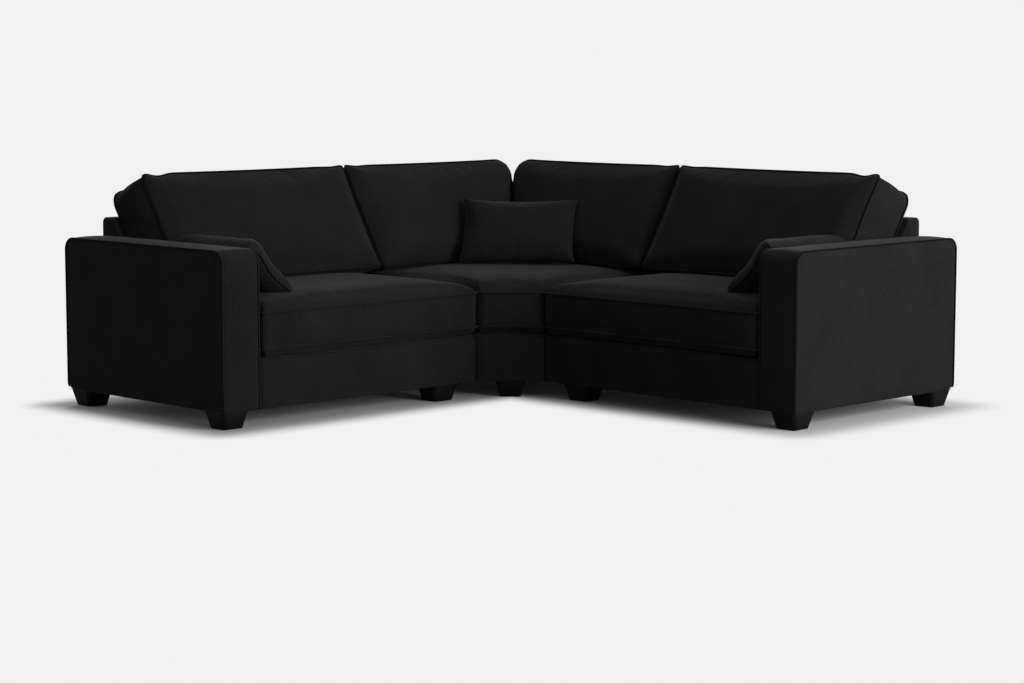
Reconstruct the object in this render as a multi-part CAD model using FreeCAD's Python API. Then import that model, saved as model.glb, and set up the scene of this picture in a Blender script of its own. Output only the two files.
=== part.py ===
import FreeCAD, Part
import math
import os
from FreeCAD import Vector

# Corner sofa in three upholstered modules: a left wing, a corner unit with a cut front, a right wing.
# Millimetres, +Z up. The origin is on the floor, in the middle of the square that the sofa fills.
# The outer corner is at -X +Y, and the open side of the L looks towards +X -Y.

# Driving dimensions
overall = 2360.0            # each side of the square footprint
depth = 950.0               # front of a wing to its outside back
wing_length = 1230.0        # arm and seat of one wing, up to the corner unit
arm_width = 170.0
arm_top = 632.0             # height of the piped edges of the arm
arm_round = 44.0            # radius at the front and rear top corners of the arm
arm_crown = 6.0             # how far the padded strip stands above its piped edges
foot_height = 63.0
body_bottom = 64.0          # lower edge of the upholstery, one cloth above the feet
deck_top = 247.0            # cloth that the seat cushions lie on
back_top = 700.0            # top of the fixed back
back_top_round = 12.0

# Seat cushions
seat_low_seam = 276.0
seat_high_seam = 406.0
seat_crown = 56.0
seat_overhang = 14.0        # seat cushion in front of the base
corner_overhang = 6.0
seat_rear = 702.0           # foot of the inside back, from the front of the wing

# Back cushions
lean = math.radians(30.8)   # from the vertical
back_foot_v = 546.0         # lower front seam, from the front of the wing
back_foot_z = 471.0
back_height = 460.0         # along the lean
back_thickness = 155.0
back_crown = 36.0
back_rear_swell = 10.0
back_rear_low = 46.0        # the rear panel starts and ends higher than the front one
back_rear_high = 18.0
back_outer_rear = 190.0     # outer end of the rear panel, from the outside of the arm
back_outer_front = 236.0    # outer end of the front panel, which is pulled in
mitre_round = 62.0          # rounded top where the two corner cushions meet
wing_back_rounds = [16.0, 10.0, 10.0, 20.0]           # corners of the panels, from the foot round
corner_back_rounds = [10.0, 10.0, mitre_round, 10.0]

# Scatter cushions
scatter_width = 480.0
scatter_height = 315.0
scatter_half = 56.0         # half of the thickness
step_back = scatter_half / 10    # how far a cushion backs off while it is let down
settling_steps = 30
settling_rounds = 3
side_scatter_width = 436.0
side_scatter_height = 292.0
scatter_draw = 15.0         # how far the middle of each edge is pulled in
scatter_round = 12.0
centre_lean = math.radians(38.0)
centre_turn = math.radians(5.3)    # its right end stands nearer the open side
centre_shift = 20.0         # along the corner, to the right
centre_start = 60.0         # where it stands before it is pushed back against the corner cushions
side_lean = math.radians(47.0)
side_middle = 318.0         # middle of a side scatter, from the front of the wing
side_above_arm = 16.0       # upper seam of a side scatter above the arm
side_past_arm = 20.0        # and towards the seat from the arm's inner face

# Cloth, padding, timber and clearances
welt_radius = 3.5
soft_gap = 0.3              # between soft pieces that lie together
flatness = 1e-6             # least rise that splits a panel in two
corner_room = 0.42          # most of a side that the round of one corner may take
arm_gap = 2.0               # seat cushion to the inner face of the arm
module_gap = 0.5            # each side of the joint between two modules
padding = 14.0              # padded cover over the timber
front_padding = 32.0        # thicker along the front edge of the base
back_wall = 12.0
cloth = 1.0
cloth_margin = 9.0          # the dust cover stops short of the outer edges
arm_hole = 185.0            # lightening holes in the plywood sides of an arm
arm_hole_round = 40.0
arm_battens = 4
rib_hole = 92.0             # holes in the plywood ribs of a back
rib_hole_round = 26.0
web_thick = 1.5
web_width = 70.0
back_straps_each = 3
strap_gap = 0.05
web_pitch = 118.0
board = 15.0                # plywood sides and ribs
rail = 22.0                 # sawn rails
timber_gap = 0.5            # timber inside its padded cover
lip_depth = 62.0            # the base cover runs this far back over the front rail
lip_round = 30.0
foot_top_width = 114.0
foot_bottom_width = 82.0
foot_edge_round = 6.0
foot_inset = 10.0           # top of a foot from the edge of the base
inner_foot_u = 1079.0       # centre of the inner feet of a wing
corner_foot_in = 124.0      # centre of the corner unit's rear feet from its joints
block_width = 88.0
stud_radius = 4.0
stud_room = 1.0             # clear space round a stud in the cloth
stud_clearance = 0.3
stud_depth = 26.0           # into the foot
block_height = 45.0
hook_plate = 2.5
hook_width = 44.0
hook_length = 62.0
hook_tongue = 16.0
hook_places = (150.0, 560.0)

# Values that follow from them
welt_corner = welt_radius / math.cos(math.pi / 8)
welt_out = 2 * welt_corner + soft_gap
module_line = overall / 2 - wing_length        # X of the right joint, and -Y of the left one
front_line = overall / 2 - depth               # Y of the right wing's front, and -X of the left one's
mitre = overall - depth                        # u minus v on the mitre of the corner
back_slope = math.tan(lean)
rear_panel = -back_thickness - back_rear_swell
deck_web_top = deck_top - cloth
rail_top = deck_web_top - 2 * web_thick
rail_bottom = body_bottom + 1.0
foot_of_axis, upright = Vector(0, 0, 0), Vector(0, 0, 1)


# Placing: u runs along a wing from the outside of its arm, v runs back from its front

def to_left(shape):
    placed = shape.copy()
    placed.rotate(foot_of_axis, upright, 90)
    placed.translate(Vector(-front_line, -overall / 2, 0))
    return placed


def to_right(shape):
    placed = shape.mirror(Vector(0, 0, 0), Vector(1, 0, 0))
    placed.translate(Vector(overall / 2, front_line, 0))
    return placed


def to_chamfer(shape):
    """u runs along the cut front of the corner unit from its middle, v runs into the unit."""
    placed = shape.copy()
    placed.rotate(foot_of_axis, upright, 45)
    middle = (front_line - module_line) / 2
    placed.translate(Vector(-middle, middle, 0))
    return placed


wings = {"left": to_left, "right": to_right}
os.makedirs("parts", exist_ok=True)


def write(name, solids):
    shape = solids[0] if len(solids) == 1 else Part.makeCompound(solids)
    for number, solid in enumerate(solids):
        if len(solid.Solids) != 1 or not solid.isValid() or solid.Volume <= 0:
            print("CHECK", name, number, len(solid.Solids), solid.isValid(), round(solid.Volume))
    shape.exportStep(f"parts/{name}.step")
    print(name, len(solids), "solids", round(shape.Volume / 1e6, 3), "litres")


def write_wings(name, solids):
    for side, place in wings.items():
        write(f"{name}_{side}", [place(solid) for solid in solids])


# Plain forms

def block(u0, u1, v0, v1, z0, z1):
    return Part.makeBox(u1 - u0, v1 - v0, z1 - z0, Vector(u0, v0, z0))


def round_bar(radius, z0, z1):
    """A small round bar of twelve flats that touch its radius."""
    outside = radius / math.cos(math.pi / 12)
    turns = [math.pi * k / 6 for k in range(13)]
    ring = [Vector(outside * math.cos(turn), outside * math.sin(turn), z0) for turn in turns]
    return Part.Face(Part.makePolygon(ring)).extrude(Vector(0, 0, z1 - z0))


def drilled(solid, places, radius):
    for u, v in places:
        hole = round_bar(radius, -overall / 2, overall / 2)
        hole.translate(Vector(u, v, 0))
        solid = solid.cut(hole)
    return solid


def rail_along(profile, start, end):
    """A straight rail with a (v, z) outline, whose ends may be mitred: start and end give u for each v."""
    wires = []
    for place in (start, end):
        points = [Vector(place(v), v, z) for v, z in profile]
        wires.append(Part.makePolygon(points + points[:1]))
    return Part.makeLoft(wires, True, True)


def at(u):
    return lambda v: u


def fan(before, corner, after, radius, steps):
    """Points that turn a corner of a flat outline round an arc, on the tangents just outside it."""
    first, last = (before - corner).normalize(), (after - corner).normalize()
    half = first.getAngle(last) / 2
    centre = corner + (first + last).normalize() * (radius / math.sin(half))
    turn = math.pi - 2 * half
    begin = corner + first * (radius / math.tan(half)) - centre
    finish = corner + last * (radius / math.tan(half)) - centre
    outside = radius / math.cos(turn / steps / 2)
    spots = []
    for step in range(steps):
        share = (step + 0.5) / steps
        aim = begin * math.sin((1 - share) * turn) + finish * math.sin(share * turn)
        spots.append(centre + aim.normalize() * outside)
    return spots


def rounded(points, number, radius, steps=4):
    """The outline with one of its corners turned into a fan of points."""
    before, corner, after = (Vector(*points[(number + k) % len(points)], 0) for k in (-1, 0, 1))
    spots = [(spot.x, spot.y) for spot in fan(before, corner, after, radius, steps)]
    return points[:number] + spots + points[number + 1:]


def opening(v, z, size, radius):
    """A square hole with rounded corners through everything along u."""
    half = size / 2
    corners = [(v - half, z - half), (v + half, z - half), (v + half, z + half), (v - half, z + half)]
    for k in (3, 2, 1, 0):
        corners = rounded(corners, k, radius, 2)
    return rail_along(corners, at(0), at(overall))


def inset(corners, amounts):
    """An anticlockwise outline with each side moved in by its own amount. Side k starts at corner k."""
    count = len(corners)
    lines = []
    for k, (x0, y0) in enumerate(corners):
        x1, y1 = corners[(k + 1) % count]
        length = math.hypot(x1 - x0, y1 - y0)
        along = ((x1 - x0) / length, (y1 - y0) / length)
        lines.append((x0 - along[1] * amounts[k], y0 + along[0] * amounts[k], *along))
    moved = []
    for k in range(count):
        ax, ay, adx, ady = lines[k - 1]
        bx, by, bdx, bdy = lines[k]
        reach = ((bx - ax) * bdy - (by - ay) * bdx) / (adx * bdy - ady * bdx)
        moved.append((ax + adx * reach, ay + ady * reach))
    return moved


def even(amount, count=4):
    return [amount] * count


# Sewn forms: rings of points with flat panels between them

def panel(quad):
    """A flat face between four points, or two where they do not lie in one plane."""
    a, b, c, d = quad
    rise = abs((d - a).dot((b - a).cross(c - a).normalize()))
    loops = [[a, b, c, d]] if rise < flatness else [[a, b, c], [a, c, d]]
    return [Part.Face(Part.makePolygon(loop + loop[:1])) for loop in loops]


def skin(rings, closed=False):
    """A solid whose panels join each ring of points to the next. Its ends are flat unless it closes."""
    faces = []
    count = len(rings)
    for k in range(count if closed else count - 1):
        a, b = rings[k], rings[(k + 1) % count]
        for step in range(len(a)):
            after = (step + 1) % len(a)
            faces += panel([a[step], a[after], b[after], b[step]])
    if not closed:
        faces += [Part.Face(Part.makePolygon(ring + ring[:1])) for ring in (rings[0], rings[-1])]
    shell = Part.Shell(faces)
    shell.sewShape()
    solid = Part.Solid(shell)
    if solid.Volume < 0:
        solid.reverse()
    return solid


def outline(corners, rounds, draw, steps, shares):
    """Points of a seam line: a fan round each corner, and sides drawn in towards their middles."""
    points = [Vector(p, q, 0) for p, q in corners]
    reaches = []
    for k, a in enumerate(points):
        before, after = points[k - 1] - a, points[(k + 1) % len(points)] - a
        room = min(before.Length, after.Length) * corner_room
        reaches.append(min(rounds[k] / math.tan(before.getAngle(after) / 2), room))
    line_up = []
    for k, a in enumerate(points):
        b = points[(k + 1) % len(points)]
        radius = reaches[k] * math.tan((points[k - 1] - a).getAngle(b - a) / 2)
        line_up += fan(points[k - 1], a, b, radius, steps[k])
        side, length = (b - a).normalize(), (b - a).Length
        first, last = reaches[k], length - reaches[(k + 1) % len(points)]
        for share in shares:
            reach = first + (last - first) * share
            sag = 4 * draw * (reach / length) * (1 - reach / length)
            line_up.append(a + side * reach + Vector(-side.y, side.x, 0) * sag)
    return line_up


def sewn(corners, rounds, draw):
    return outline(corners, rounds, draw, even(4, len(corners)), (0.25, 0.5, 0.75))


def shrunk(seam, share):
    """The outline drawn towards its middle, so that each edge stays parallel to itself."""
    middle = Part.makePolygon(seam).BoundBox.Center
    return [middle + (spot - middle) * share for spot in seam]


def stuffed(place, rings):
    """A closed cushion through rings (n, spots), from its bottom or back to its crown."""
    return skin([[place(spot.x, spot.y, n) for spot in spots] for n, spots in rings])


def crowned(seam, n, crown, rings):
    """Rings over a seam, each (share of the crown, share of the outline)."""
    return [(n + crown * rise, shrunk(seam, share)) for rise, share in rings]


def welt(path, normal, closed):
    """Piping: an eight-sided cord along a flat path, mitred at each point."""
    count = len(path)
    rings = []
    for k, point in enumerate(path):
        before = path[k - 1] if closed or k else None
        after = path[(k + 1) % count] if closed or k < count - 1 else None
        into = (point - before).normalize() if before is not None else (after - point).normalize()
        out = (after - point).normalize() if after is not None else into
        side = (normal.cross(into) + normal.cross(out)).normalize()
        stretch = 1 / side.dot(normal.cross(into))
        ring = []
        for step in range(8):
            angle = math.pi * (2 * step + 1) / 8
            across = side * (welt_corner * math.cos(angle) * stretch)
            ring.append(point + across + normal * (welt_corner * math.sin(angle)))
        rings.append(ring)
    return skin(rings, closed)


def seam_welt(place, corners, n, rounds, draw, flares=None):
    """Piping just outside a seam. flares gives how steeply the border spreads from it at each side."""
    flares = flares or even(0, len(corners))
    away = [(welt_corner + soft_gap) * math.hypot(1, max(0, flare)) for flare in flares]
    corners = inset(corners, [-amount for amount in away])
    steps = [4 if r > 3 * welt_out else 2 for r in rounds]
    path = outline(corners, [r + welt_corner + soft_gap for r in rounds], draw, steps, (0.5,))
    normal = (place(0, 0, n + 1) - place(0, 0, n)).normalize()
    return welt([place(spot.x, spot.y, n) for spot in path], normal, True)


def flat(p, q, n):
    return Vector(p, q, n)


def leaning(p, q, n):
    """p along the wing, q up the lean of a back cushion, n out of its front panel."""
    return Vector(p, back_foot_v + q * math.sin(lean) - n * math.cos(lean),
                  back_foot_z + q * math.cos(lean) + n * math.sin(lean))


# Arms

def arm_profile(inner, crown, bottom):
    """(v, z) outline of the arm, moved in by inner, with the strip raised by crown at the front and top."""
    front = inner - crown
    rear = depth - welt_radius - inner
    top = arm_top - inner + crown
    bend = arm_round - inner + crown
    back_bend = arm_round - inner
    corner = math.sqrt(0.5)
    a, b = Vector(0, front, bottom), Vector(0, front, top - bend)
    c, d = Vector(0, front + bend, top), Vector(0, rear - back_bend, top)
    e, f = Vector(0, rear, top - back_bend), Vector(0, rear, bottom)
    first = Vector(0, front + bend * (1 - corner), top - bend * (1 - corner))
    second = Vector(0, rear - back_bend * (1 - corner), top - back_bend * (1 - corner))
    return [Part.LineSegment(a, b).toShape(), Part.Arc(b, first, c).toShape(),
            Part.LineSegment(c, d).toShape(), Part.Arc(d, second, e).toShape(),
            Part.LineSegment(e, f).toShape(), Part.LineSegment(f, a).toShape()]


def arm_wire(u, inner, crown, bottom):
    wire = Part.Wire(arm_profile(inner, crown, bottom))
    wire.translate(Vector(u, 0, 0))
    return wire


def arm_slab(u0, u1, inner, bottom):
    return Part.Face(arm_wire(u0, inner, 0, bottom)).extrude(Vector(u1 - u0, 0, 0))


arm_face = welt_out
cavity = arm_face + padding
rings = []
for share in (0.0, 0.25, 0.5, 0.75, 1.0):
    crown = 4 * arm_crown * share * (1 - share)
    rings.append(arm_wire(arm_face + (arm_width - 2 * arm_face) * share, 0, crown, body_bottom))
arm_cover = Part.makeLoft(rings, True, True)
arm_cover = arm_cover.cut(arm_slab(cavity, arm_width - cavity, padding, 0))
write_wings("arm_cover", [arm_cover])

edge = [(0, body_bottom), (0, arm_top), (depth - welt_radius, arm_top), (depth - welt_radius, body_bottom)]
edge = rounded(rounded(edge, 2, arm_round), 1, arm_round)
welts = []
for u in (welt_radius, arm_width - welt_radius):
    welts.append(welt([Vector(u, v, z) for v, z in edge], Vector(1, 0, 0), False))
write_wings("arm_piping", welts)

frame_out, frame_in = cavity + timber_gap, arm_width - cavity - timber_gap
batten_start, batten_end = frame_out + board, frame_in - board
timber_in = padding + timber_gap
arm_timber_top = arm_top - timber_in
first_batten = timber_in + arm_round
batten_step = (depth - welt_radius - 2 * first_batten - rail) / (arm_battens - 1)

timbers = []
for u in (frame_out, batten_end):
    side = arm_slab(u, u + board, timber_in, rail_bottom)
    for number in range(arm_battens - 1):
        v = first_batten + rail / 2 + batten_step * (number + 0.5)
        side = side.cut(opening(v, (rail_bottom + arm_timber_top) / 2, arm_hole, arm_hole_round))
    timbers.append(side)
for number in range(arm_battens):
    v = first_batten + batten_step * number
    timbers.append(block(batten_start, batten_end, v, v + rail, arm_timber_top - rail * 2, arm_timber_top))
    if 0 < number < arm_battens - 1:
        timbers.append(block(batten_start, batten_end, v, v + rail, rail_bottom, rail_bottom + rail * 2))
write_wings("arm_frame", timbers)

# Wing base: rails, blocks, webbing, cloth and the padded front

base_start = arm_width + timber_gap
base_end = wing_length - module_gap - timber_gap
rail_front = front_padding + timber_gap
rear_rail = seat_rear - rail - timber_gap
wing_feet = [(foot_inset + foot_top_width / 2, foot_inset + foot_top_width / 2),
             (foot_inset + foot_top_width / 2, depth - foot_inset - foot_top_width / 2),
             (inner_foot_u, foot_inset + foot_top_width / 2),
             (inner_foot_u, depth - foot_inset - foot_top_width / 2)]


def foot_block(u0, u1, v0, v1, stud_place):
    """A timber block that takes the stud of a foot."""
    solid = block(u0, u1, v0, v1, rail_bottom, rail_bottom + block_height)
    return drilled(solid, [stud_place], stud_radius + stud_clearance)


def block_round(u, v, middle_v):
    """A square block whose stud stands off its middle, where a rail is in the way."""
    half = block_width / 2
    return foot_block(u - half, u + half, middle_v - half, middle_v + half, (u, v))


base = [block(base_start, base_end, rail_front, rail_front + rail, rail_bottom, rail_top),
        block(base_start, base_end, rear_rail, rear_rail + rail, rail_bottom, rail_top)]
for u, high in ((base_start, rail_top), (base_end - rail, rail_top),
                ((base_start + base_end - rail) / 2, rail_bottom + 3 * rail)):
    base.append(block(u, u + rail, rail_front + rail, rear_rail, rail_bottom, high))
write_wings("base_frame", base)


def webbing(u0, u1, v0, v1, z):
    """Elastic straps both ways over an opening, the second layer on the first."""
    straps = []
    for count_from, count_to, other_from, other_to, low, turned in (
            (u0, u1, v0, v1, z, False), (v0, v1, u0, u1, z + web_thick, True)):
        number = max(1, round((count_to - count_from) / web_pitch))
        step = (count_to - count_from) / number
        for k in range(number):
            middle = count_from + step * (k + 0.5)
            low_edge, high_edge = middle - web_width / 2, middle + web_width / 2
            sizes = (low_edge, high_edge, other_from, other_to)
            sizes = sizes[2:] + sizes[:2] if turned else sizes
            straps.append(block(*sizes, low, low + web_thick))
    return straps


write_wings("seat_webbing", webbing(base_start, base_end, rail_front, rear_rail + rail, rail_top))
deck = [block(base_start, base_end, lip_depth + soft_gap, seat_rear - soft_gap, deck_web_top, deck_top)]
write_wings("deck_cloth", deck)

front_pad = [(0, body_bottom), (front_padding, body_bottom), (front_padding, deck_web_top),
             (lip_depth, deck_web_top), (lip_depth, deck_top), (0, deck_top)]
front_pad = rounded(front_pad, 5, lip_round)
pad = rail_along(front_pad, at(arm_width + soft_gap), at(wing_length - module_gap))
write_wings("base_cover", [pad])

clear_holes = stud_radius + stud_room
bottom_cloth = block(cloth_margin, wing_length - module_gap, cloth_margin, depth - cloth_margin,
                     foot_height, body_bottom)
write_wings("dust_cover", [drilled(bottom_cloth, wing_feet, clear_holes)])

# Fixed back: ply ribs, rails, webbing and a padded cover with a sloping front

back_knee = back_foot_z - back_thickness * math.sin(lean) - back_rear_swell * math.sin(lean)
slope_v = back_foot_v - rear_panel * math.cos(lean) + soft_gap * 2 / math.cos(lean)
knee_z = back_knee + (seat_rear - slope_v) / back_slope
top_v = seat_rear + (back_top - knee_z) * back_slope
back_profile = [(seat_rear, body_bottom), (depth, body_bottom), (depth, back_top), (top_v, back_top),
                (seat_rear, knee_z)]


def moved_in(amount, bottom):
    """The back's outline moved in all round, but level with the given height at its foot."""
    corners = inset(back_profile, [0, amount, amount, amount, amount])
    return [(corners[0][0], bottom), (corners[1][0], bottom)] + corners[2:]


def back_shell(start, end, start_wall, end_wall):
    skin = rounded(rounded(back_profile, 3, back_top_round), 2, back_top_round)
    cover = rail_along(skin, start, end)
    hollow = rail_along(moved_in(back_wall, 0), start_wall, end_wall)
    return cover.cut(hollow)


write_wings("back_cover", [back_shell(at(arm_width + soft_gap), at(wing_length - module_gap),
                                      at(arm_width + soft_gap + back_wall),
                                      at(wing_length - module_gap - back_wall))])

rib_inset = back_wall + timber_gap
web_room = web_thick + timber_gap
rib_profile = inset(back_profile, [0, rib_inset, rib_inset, rib_inset + web_room, rib_inset + web_room])
rib_profile[0], rib_profile[1] = (rib_profile[0][0], rail_bottom), (rib_profile[1][0], rail_bottom)

rib_top = rib_profile[2][1]
rib_rear = rib_profile[1][0]


def rib(u):
    """A plywood rib with two rounded holes, one below the seat and one above it."""
    solid = rail_along(rib_profile, at(u), at(u + board))
    v = (seat_rear + rib_rear - rail) / 2
    solid = solid.cut(opening(v, (rail_bottom + deck_top) / 2 + rail, rib_hole, rib_hole_round))
    return solid.cut(opening(v + rail, (deck_top + rib_top) / 2 - rail, rib_hole, rib_hole_round))


def back_timbers(u0, u1):
    """Three ribs, and the rails between them at the top, at seat height and at the floor."""
    places = [u0, (u0 + u1 - board) / 2, u1 - board]
    solids = [rib(u) for u in places]
    for left, right in zip(places, places[1:]):
        start = left + board
        solids.append(block(start, right, rib_rear - rail, rib_rear, rib_top - 2 * rail, rib_top))
        solids.append(block(start, right, rib_rear - rail, rib_rear, deck_top, deck_top + 2 * rail))
        solids.append(block(start, right, rib_rear - rail, rib_rear, rail_bottom, rail_bottom + 2 * rail))
    return solids


back_start = arm_width + soft_gap + back_wall + timber_gap
back_end = wing_length - module_gap - back_wall - timber_gap
write_wings("back_frame", back_timbers(back_start, back_end))


def back_straps(u0, u1):
    """Three straps along the sloping front of the ribs."""
    straps = []
    low, high = Vector(0, *rib_profile[4]), Vector(0, *rib_profile[3])
    along = (high - low).normalize()
    out = Vector(0, -along.z, along.y)
    room = (high - low).Length
    for number in range(back_straps_each):
        middle = room * (number + 0.5) / back_straps_each
        foot = low + along * (middle - web_width / 2) + out * strap_gap
        corners = [foot, foot + along * web_width, foot + along * web_width + out * web_thick,
                   foot + out * web_thick]
        straps.append(rail_along([(p.y, p.z) for p in corners], at(u0), at(u1)))
    return straps


write_wings("back_webbing", back_straps(back_start, back_end))

# Seat and back cushions of a wing

# Rings of the soft forms, each a share of the crown, swell or half thickness and a share of the outline
crown_rings = ((0.2, 0.985), (0.42, 0.95), (0.62, 0.88), (0.81, 0.78), (0.95, 0.64), (1.0, 0.48))
bottom_rings = ((-1.0, 0.95), (-0.45, 0.985))
knife_rings = ((0.0, 1.0), (0.36, 0.955), (0.68, 0.86), (0.9, 0.72), (1.0, 0.5))
seat_rounds = 9.0
seat_draw = 3.0


def seat_form(corners):
    """A seat cushion: a tucked bottom, an upright border between its seams, and a crowned top."""
    seam = sewn(corners, even(seat_rounds, len(corners)), seat_draw)
    tuck = seat_low_seam - deck_top - soft_gap
    bottom = crowned(seam, seat_low_seam, tuck, bottom_rings)
    border = [(seat_low_seam, seam), (seat_high_seam, seam)]
    return stuffed(flat, bottom + border + crowned(seam, seat_high_seam, seat_crown, crown_rings))


def seat_welts(corners):
    rounds = even(seat_rounds, len(corners))
    return [seam_welt(flat, corners, n, rounds, seat_draw) for n in (seat_low_seam, seat_high_seam)]


seat_box = [(arm_width + arm_gap + welt_out, welt_out - seat_overhang),
            (wing_length - module_gap - welt_out, welt_out - seat_overhang),
            (wing_length - module_gap - welt_out, seat_rear - module_gap - welt_out),
            (arm_width + arm_gap + welt_out, seat_rear - module_gap - welt_out)]
wing_seat = seat_form(seat_box)
write_wings("seat_cushion", [wing_seat])
write_wings("seat_piping", seat_welts(seat_box))


back_draw = 8.0


def back_cushion(low_end, high_end, rounds, end_flares):
    """A back cushion and its piping, between a smaller front panel and a rear panel that sits higher."""
    panels = {}
    heights = ((-back_thickness, back_rear_low, back_height + back_rear_high), (0.0, 0.0, back_height))
    for n, low, high in heights:
        panels[n] = [(low_end(low, n), low), (high_end(low, n), low),
                     (high_end(high, n), high), (low_end(high, n), high)]
    rear, front = [sewn(panel, rounds, back_draw) for panel in panels.values()]
    behind = crowned(rear, -back_thickness, back_rear_swell, bottom_rings)
    border = [(-back_thickness, rear), (0.0, front)]
    cushion = stuffed(leaning, behind + border + crowned(front, 0.0, back_crown, crown_rings))
    foot_flare, top_flare = back_rear_low / back_thickness, back_rear_high / back_thickness
    flares = [-foot_flare, end_flares[0], top_flare, end_flares[1]]
    welts = [seam_welt(leaning, panels[-back_thickness], -back_thickness, rounds, back_draw,
                       [-flare for flare in flares]),
             seam_welt(leaning, panels[0.0], 0.0, rounds, back_draw, flares)]
    return cushion, welts


def outer_end(q, n):
    return back_outer_front - (back_outer_front - back_outer_rear) * -n / back_thickness


def joint_end(q, n):
    return wing_length - module_gap - welt_out


def corner_end(q, n):
    return wing_length + module_gap + welt_out


def mitre_end(q, n):
    return mitre + leaning(0, q, n).y - (module_gap + welt_out) * math.sqrt(2)


outer_flare = (back_outer_front - back_outer_rear) / back_thickness
wing_back, wing_back_welts = back_cushion(outer_end, joint_end, wing_back_rounds, [0, outer_flare])
write_wings("back_cushion", [wing_back])
write_wings("back_piping", wing_back_welts)
mitre_flare = math.cos(lean) / math.hypot(1, math.sin(lean))
corner_back, corner_back_welts = back_cushion(corner_end, mitre_end, corner_back_rounds, [mitre_flare, 0])
write_wings("back_cushion_corner", [corner_back])
write_wings("back_piping_corner", corner_back_welts)

# Corner unit

line = -module_line          # Y of the joint with the left wing
front_x = -front_line
inner_back = front_line + seat_rear
unit = [(-inner_back, line), (front_x, line), (-line, -front_x), (-line, inner_back),
        (-inner_back, inner_back)]
unit_gaps = [module_gap + welt_out, welt_out - corner_overhang, module_gap + welt_out,
             module_gap + welt_out, module_gap + welt_out]
corner_seat_box = inset(unit, unit_gaps)
corner_seat = seat_form(corner_seat_box)
write("seat_cushion_corner", [corner_seat])
write("seat_piping_corner", seat_welts(corner_seat_box))


def plate(corners, z0, z1):
    points = [Vector(x, y, z0) for x, y in corners]
    return Part.Face(Part.makePolygon(points + points[:1])).extrude(Vector(0, 0, z1 - z0))


half_chamfer = (front_line - line) / math.sqrt(2)
chamfer_gap = module_gap * math.sqrt(2)
corner_pad = rail_along(front_pad, lambda v: chamfer_gap - half_chamfer - v,
                        lambda v: half_chamfer + v - chamfer_gap)
write("base_cover_corner", [to_chamfer(corner_pad)])

side_in = module_gap + timber_gap
side_rail_end = front_line + (rail_front + rail) * math.sqrt(2)
corner_rails = [
    block(-inner_back + timber_gap, -side_rail_end, line + side_in, line + side_in + rail,
          rail_bottom, rail_top),
    block(-line - side_in - rail, -line - side_in, side_rail_end, inner_back - timber_gap,
          rail_bottom, rail_top),
    block(-inner_back + timber_gap, -inner_back + timber_gap + rail, line + side_in + rail,
          inner_back - timber_gap, rail_bottom, rail_top),
    block(-inner_back + timber_gap + rail, -line - side_in - rail, inner_back - timber_gap - rail,
          inner_back - timber_gap, rail_bottom, rail_top),
    to_chamfer(rail_along([(rail_front, rail_bottom), (rail_front + rail, rail_bottom),
                           (rail_front + rail, rail_top), (rail_front, rail_top)],
                          lambda v: 2 * chamfer_gap - half_chamfer - v,
                          lambda v: half_chamfer + v - 2 * chamfer_gap))]
write("base_frame_corner", corner_rails)

corner_straps = []
strap_start, strap_end = line + side_in, inner_back - timber_gap
first_strap = front_line + lip_depth
number = round((strap_end - first_strap) / web_pitch)
step = (strap_end - first_strap) / number
for k in range(number):
    middle = first_strap + step * (k + 0.5)
    low, high = middle - web_width / 2, middle + web_width / 2
    corner_straps.append(block(-strap_end, -strap_start, low, high, rail_top, rail_top + web_thick))
    corner_straps.append(block(-high, -low, strap_start, strap_end, rail_top + web_thick, deck_web_top))
write("seat_webbing_corner", corner_straps)

corner_deck = inset(unit, [module_gap, lip_depth + soft_gap, module_gap, soft_gap, soft_gap])
write("deck_cloth_corner", [plate(corner_deck, deck_web_top, deck_top)])

foot_in = foot_inset + foot_top_width / 2
far = overall / 2 - foot_in
corner_feet = [(-far, far), (-far, line + corner_foot_in), (-line - corner_foot_in, far)]
chamfer_foot = to_chamfer(Part.Vertex(0, foot_in, 0)).Point
outer_unit = [(-overall / 2, line), (front_x, line), (-line, -front_x), (-line, overall / 2),
              (-overall / 2, overall / 2)]
cloth_insets = [module_gap, cloth_margin, module_gap, cloth_margin, cloth_margin]
corner_cloth = plate(inset(outer_unit, cloth_insets), foot_height, body_bottom)
stud_places = corner_feet + [(chamfer_foot.x, chamfer_foot.y)]
write("dust_cover_corner", [drilled(corner_cloth, stud_places, clear_holes)])


def mitre_at(gap):
    return lambda v: mitre + v - gap


# The two legs of the corner unit's back meet on the mitre and share one hollow there
corner_cover = back_shell(at(wing_length + module_gap), mitre_at(soft_gap),
                          at(wing_length + module_gap + back_wall), mitre_at(-back_wall))
write_wings("back_cover_corner", [corner_cover])

leg_start = wing_length + module_gap + back_wall + timber_gap
leg_end = mitre + rib_profile[0][0] - back_wall
write_wings("back_frame_corner", back_timbers(leg_start, leg_end))
write_wings("back_webbing_corner", back_straps(leg_start, leg_end))

# Feet, their studs and blocks, and the hooks that hold the modules together


def foot(turned):
    """A tapered square foot with eased edges, standing at the origin, with a hole for its stud."""
    rings = []
    for width, z in ((foot_bottom_width, 0), (foot_top_width, foot_height)):
        half = width / 2
        corners = [(-half, -half), (half, -half), (half, half), (-half, half)]
        for k in (3, 2, 1, 0):
            corners = rounded(corners, k, foot_edge_round, 2)
        rings.append([Vector(x, y, z) for x, y in corners])
    solid = skin(rings)
    bore = round_bar(stud_radius + stud_clearance, foot_height - stud_depth, foot_height + cloth)
    solid = solid.cut(bore)
    solid.rotate(foot_of_axis, upright, turned)
    return solid


def moved(shape, x, y):
    placed = shape.copy()
    placed.translate(Vector(x, y, 0))
    return placed


def stud():
    return round_bar(stud_radius, foot_height - stud_depth, foot_height + block_height)


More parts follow.
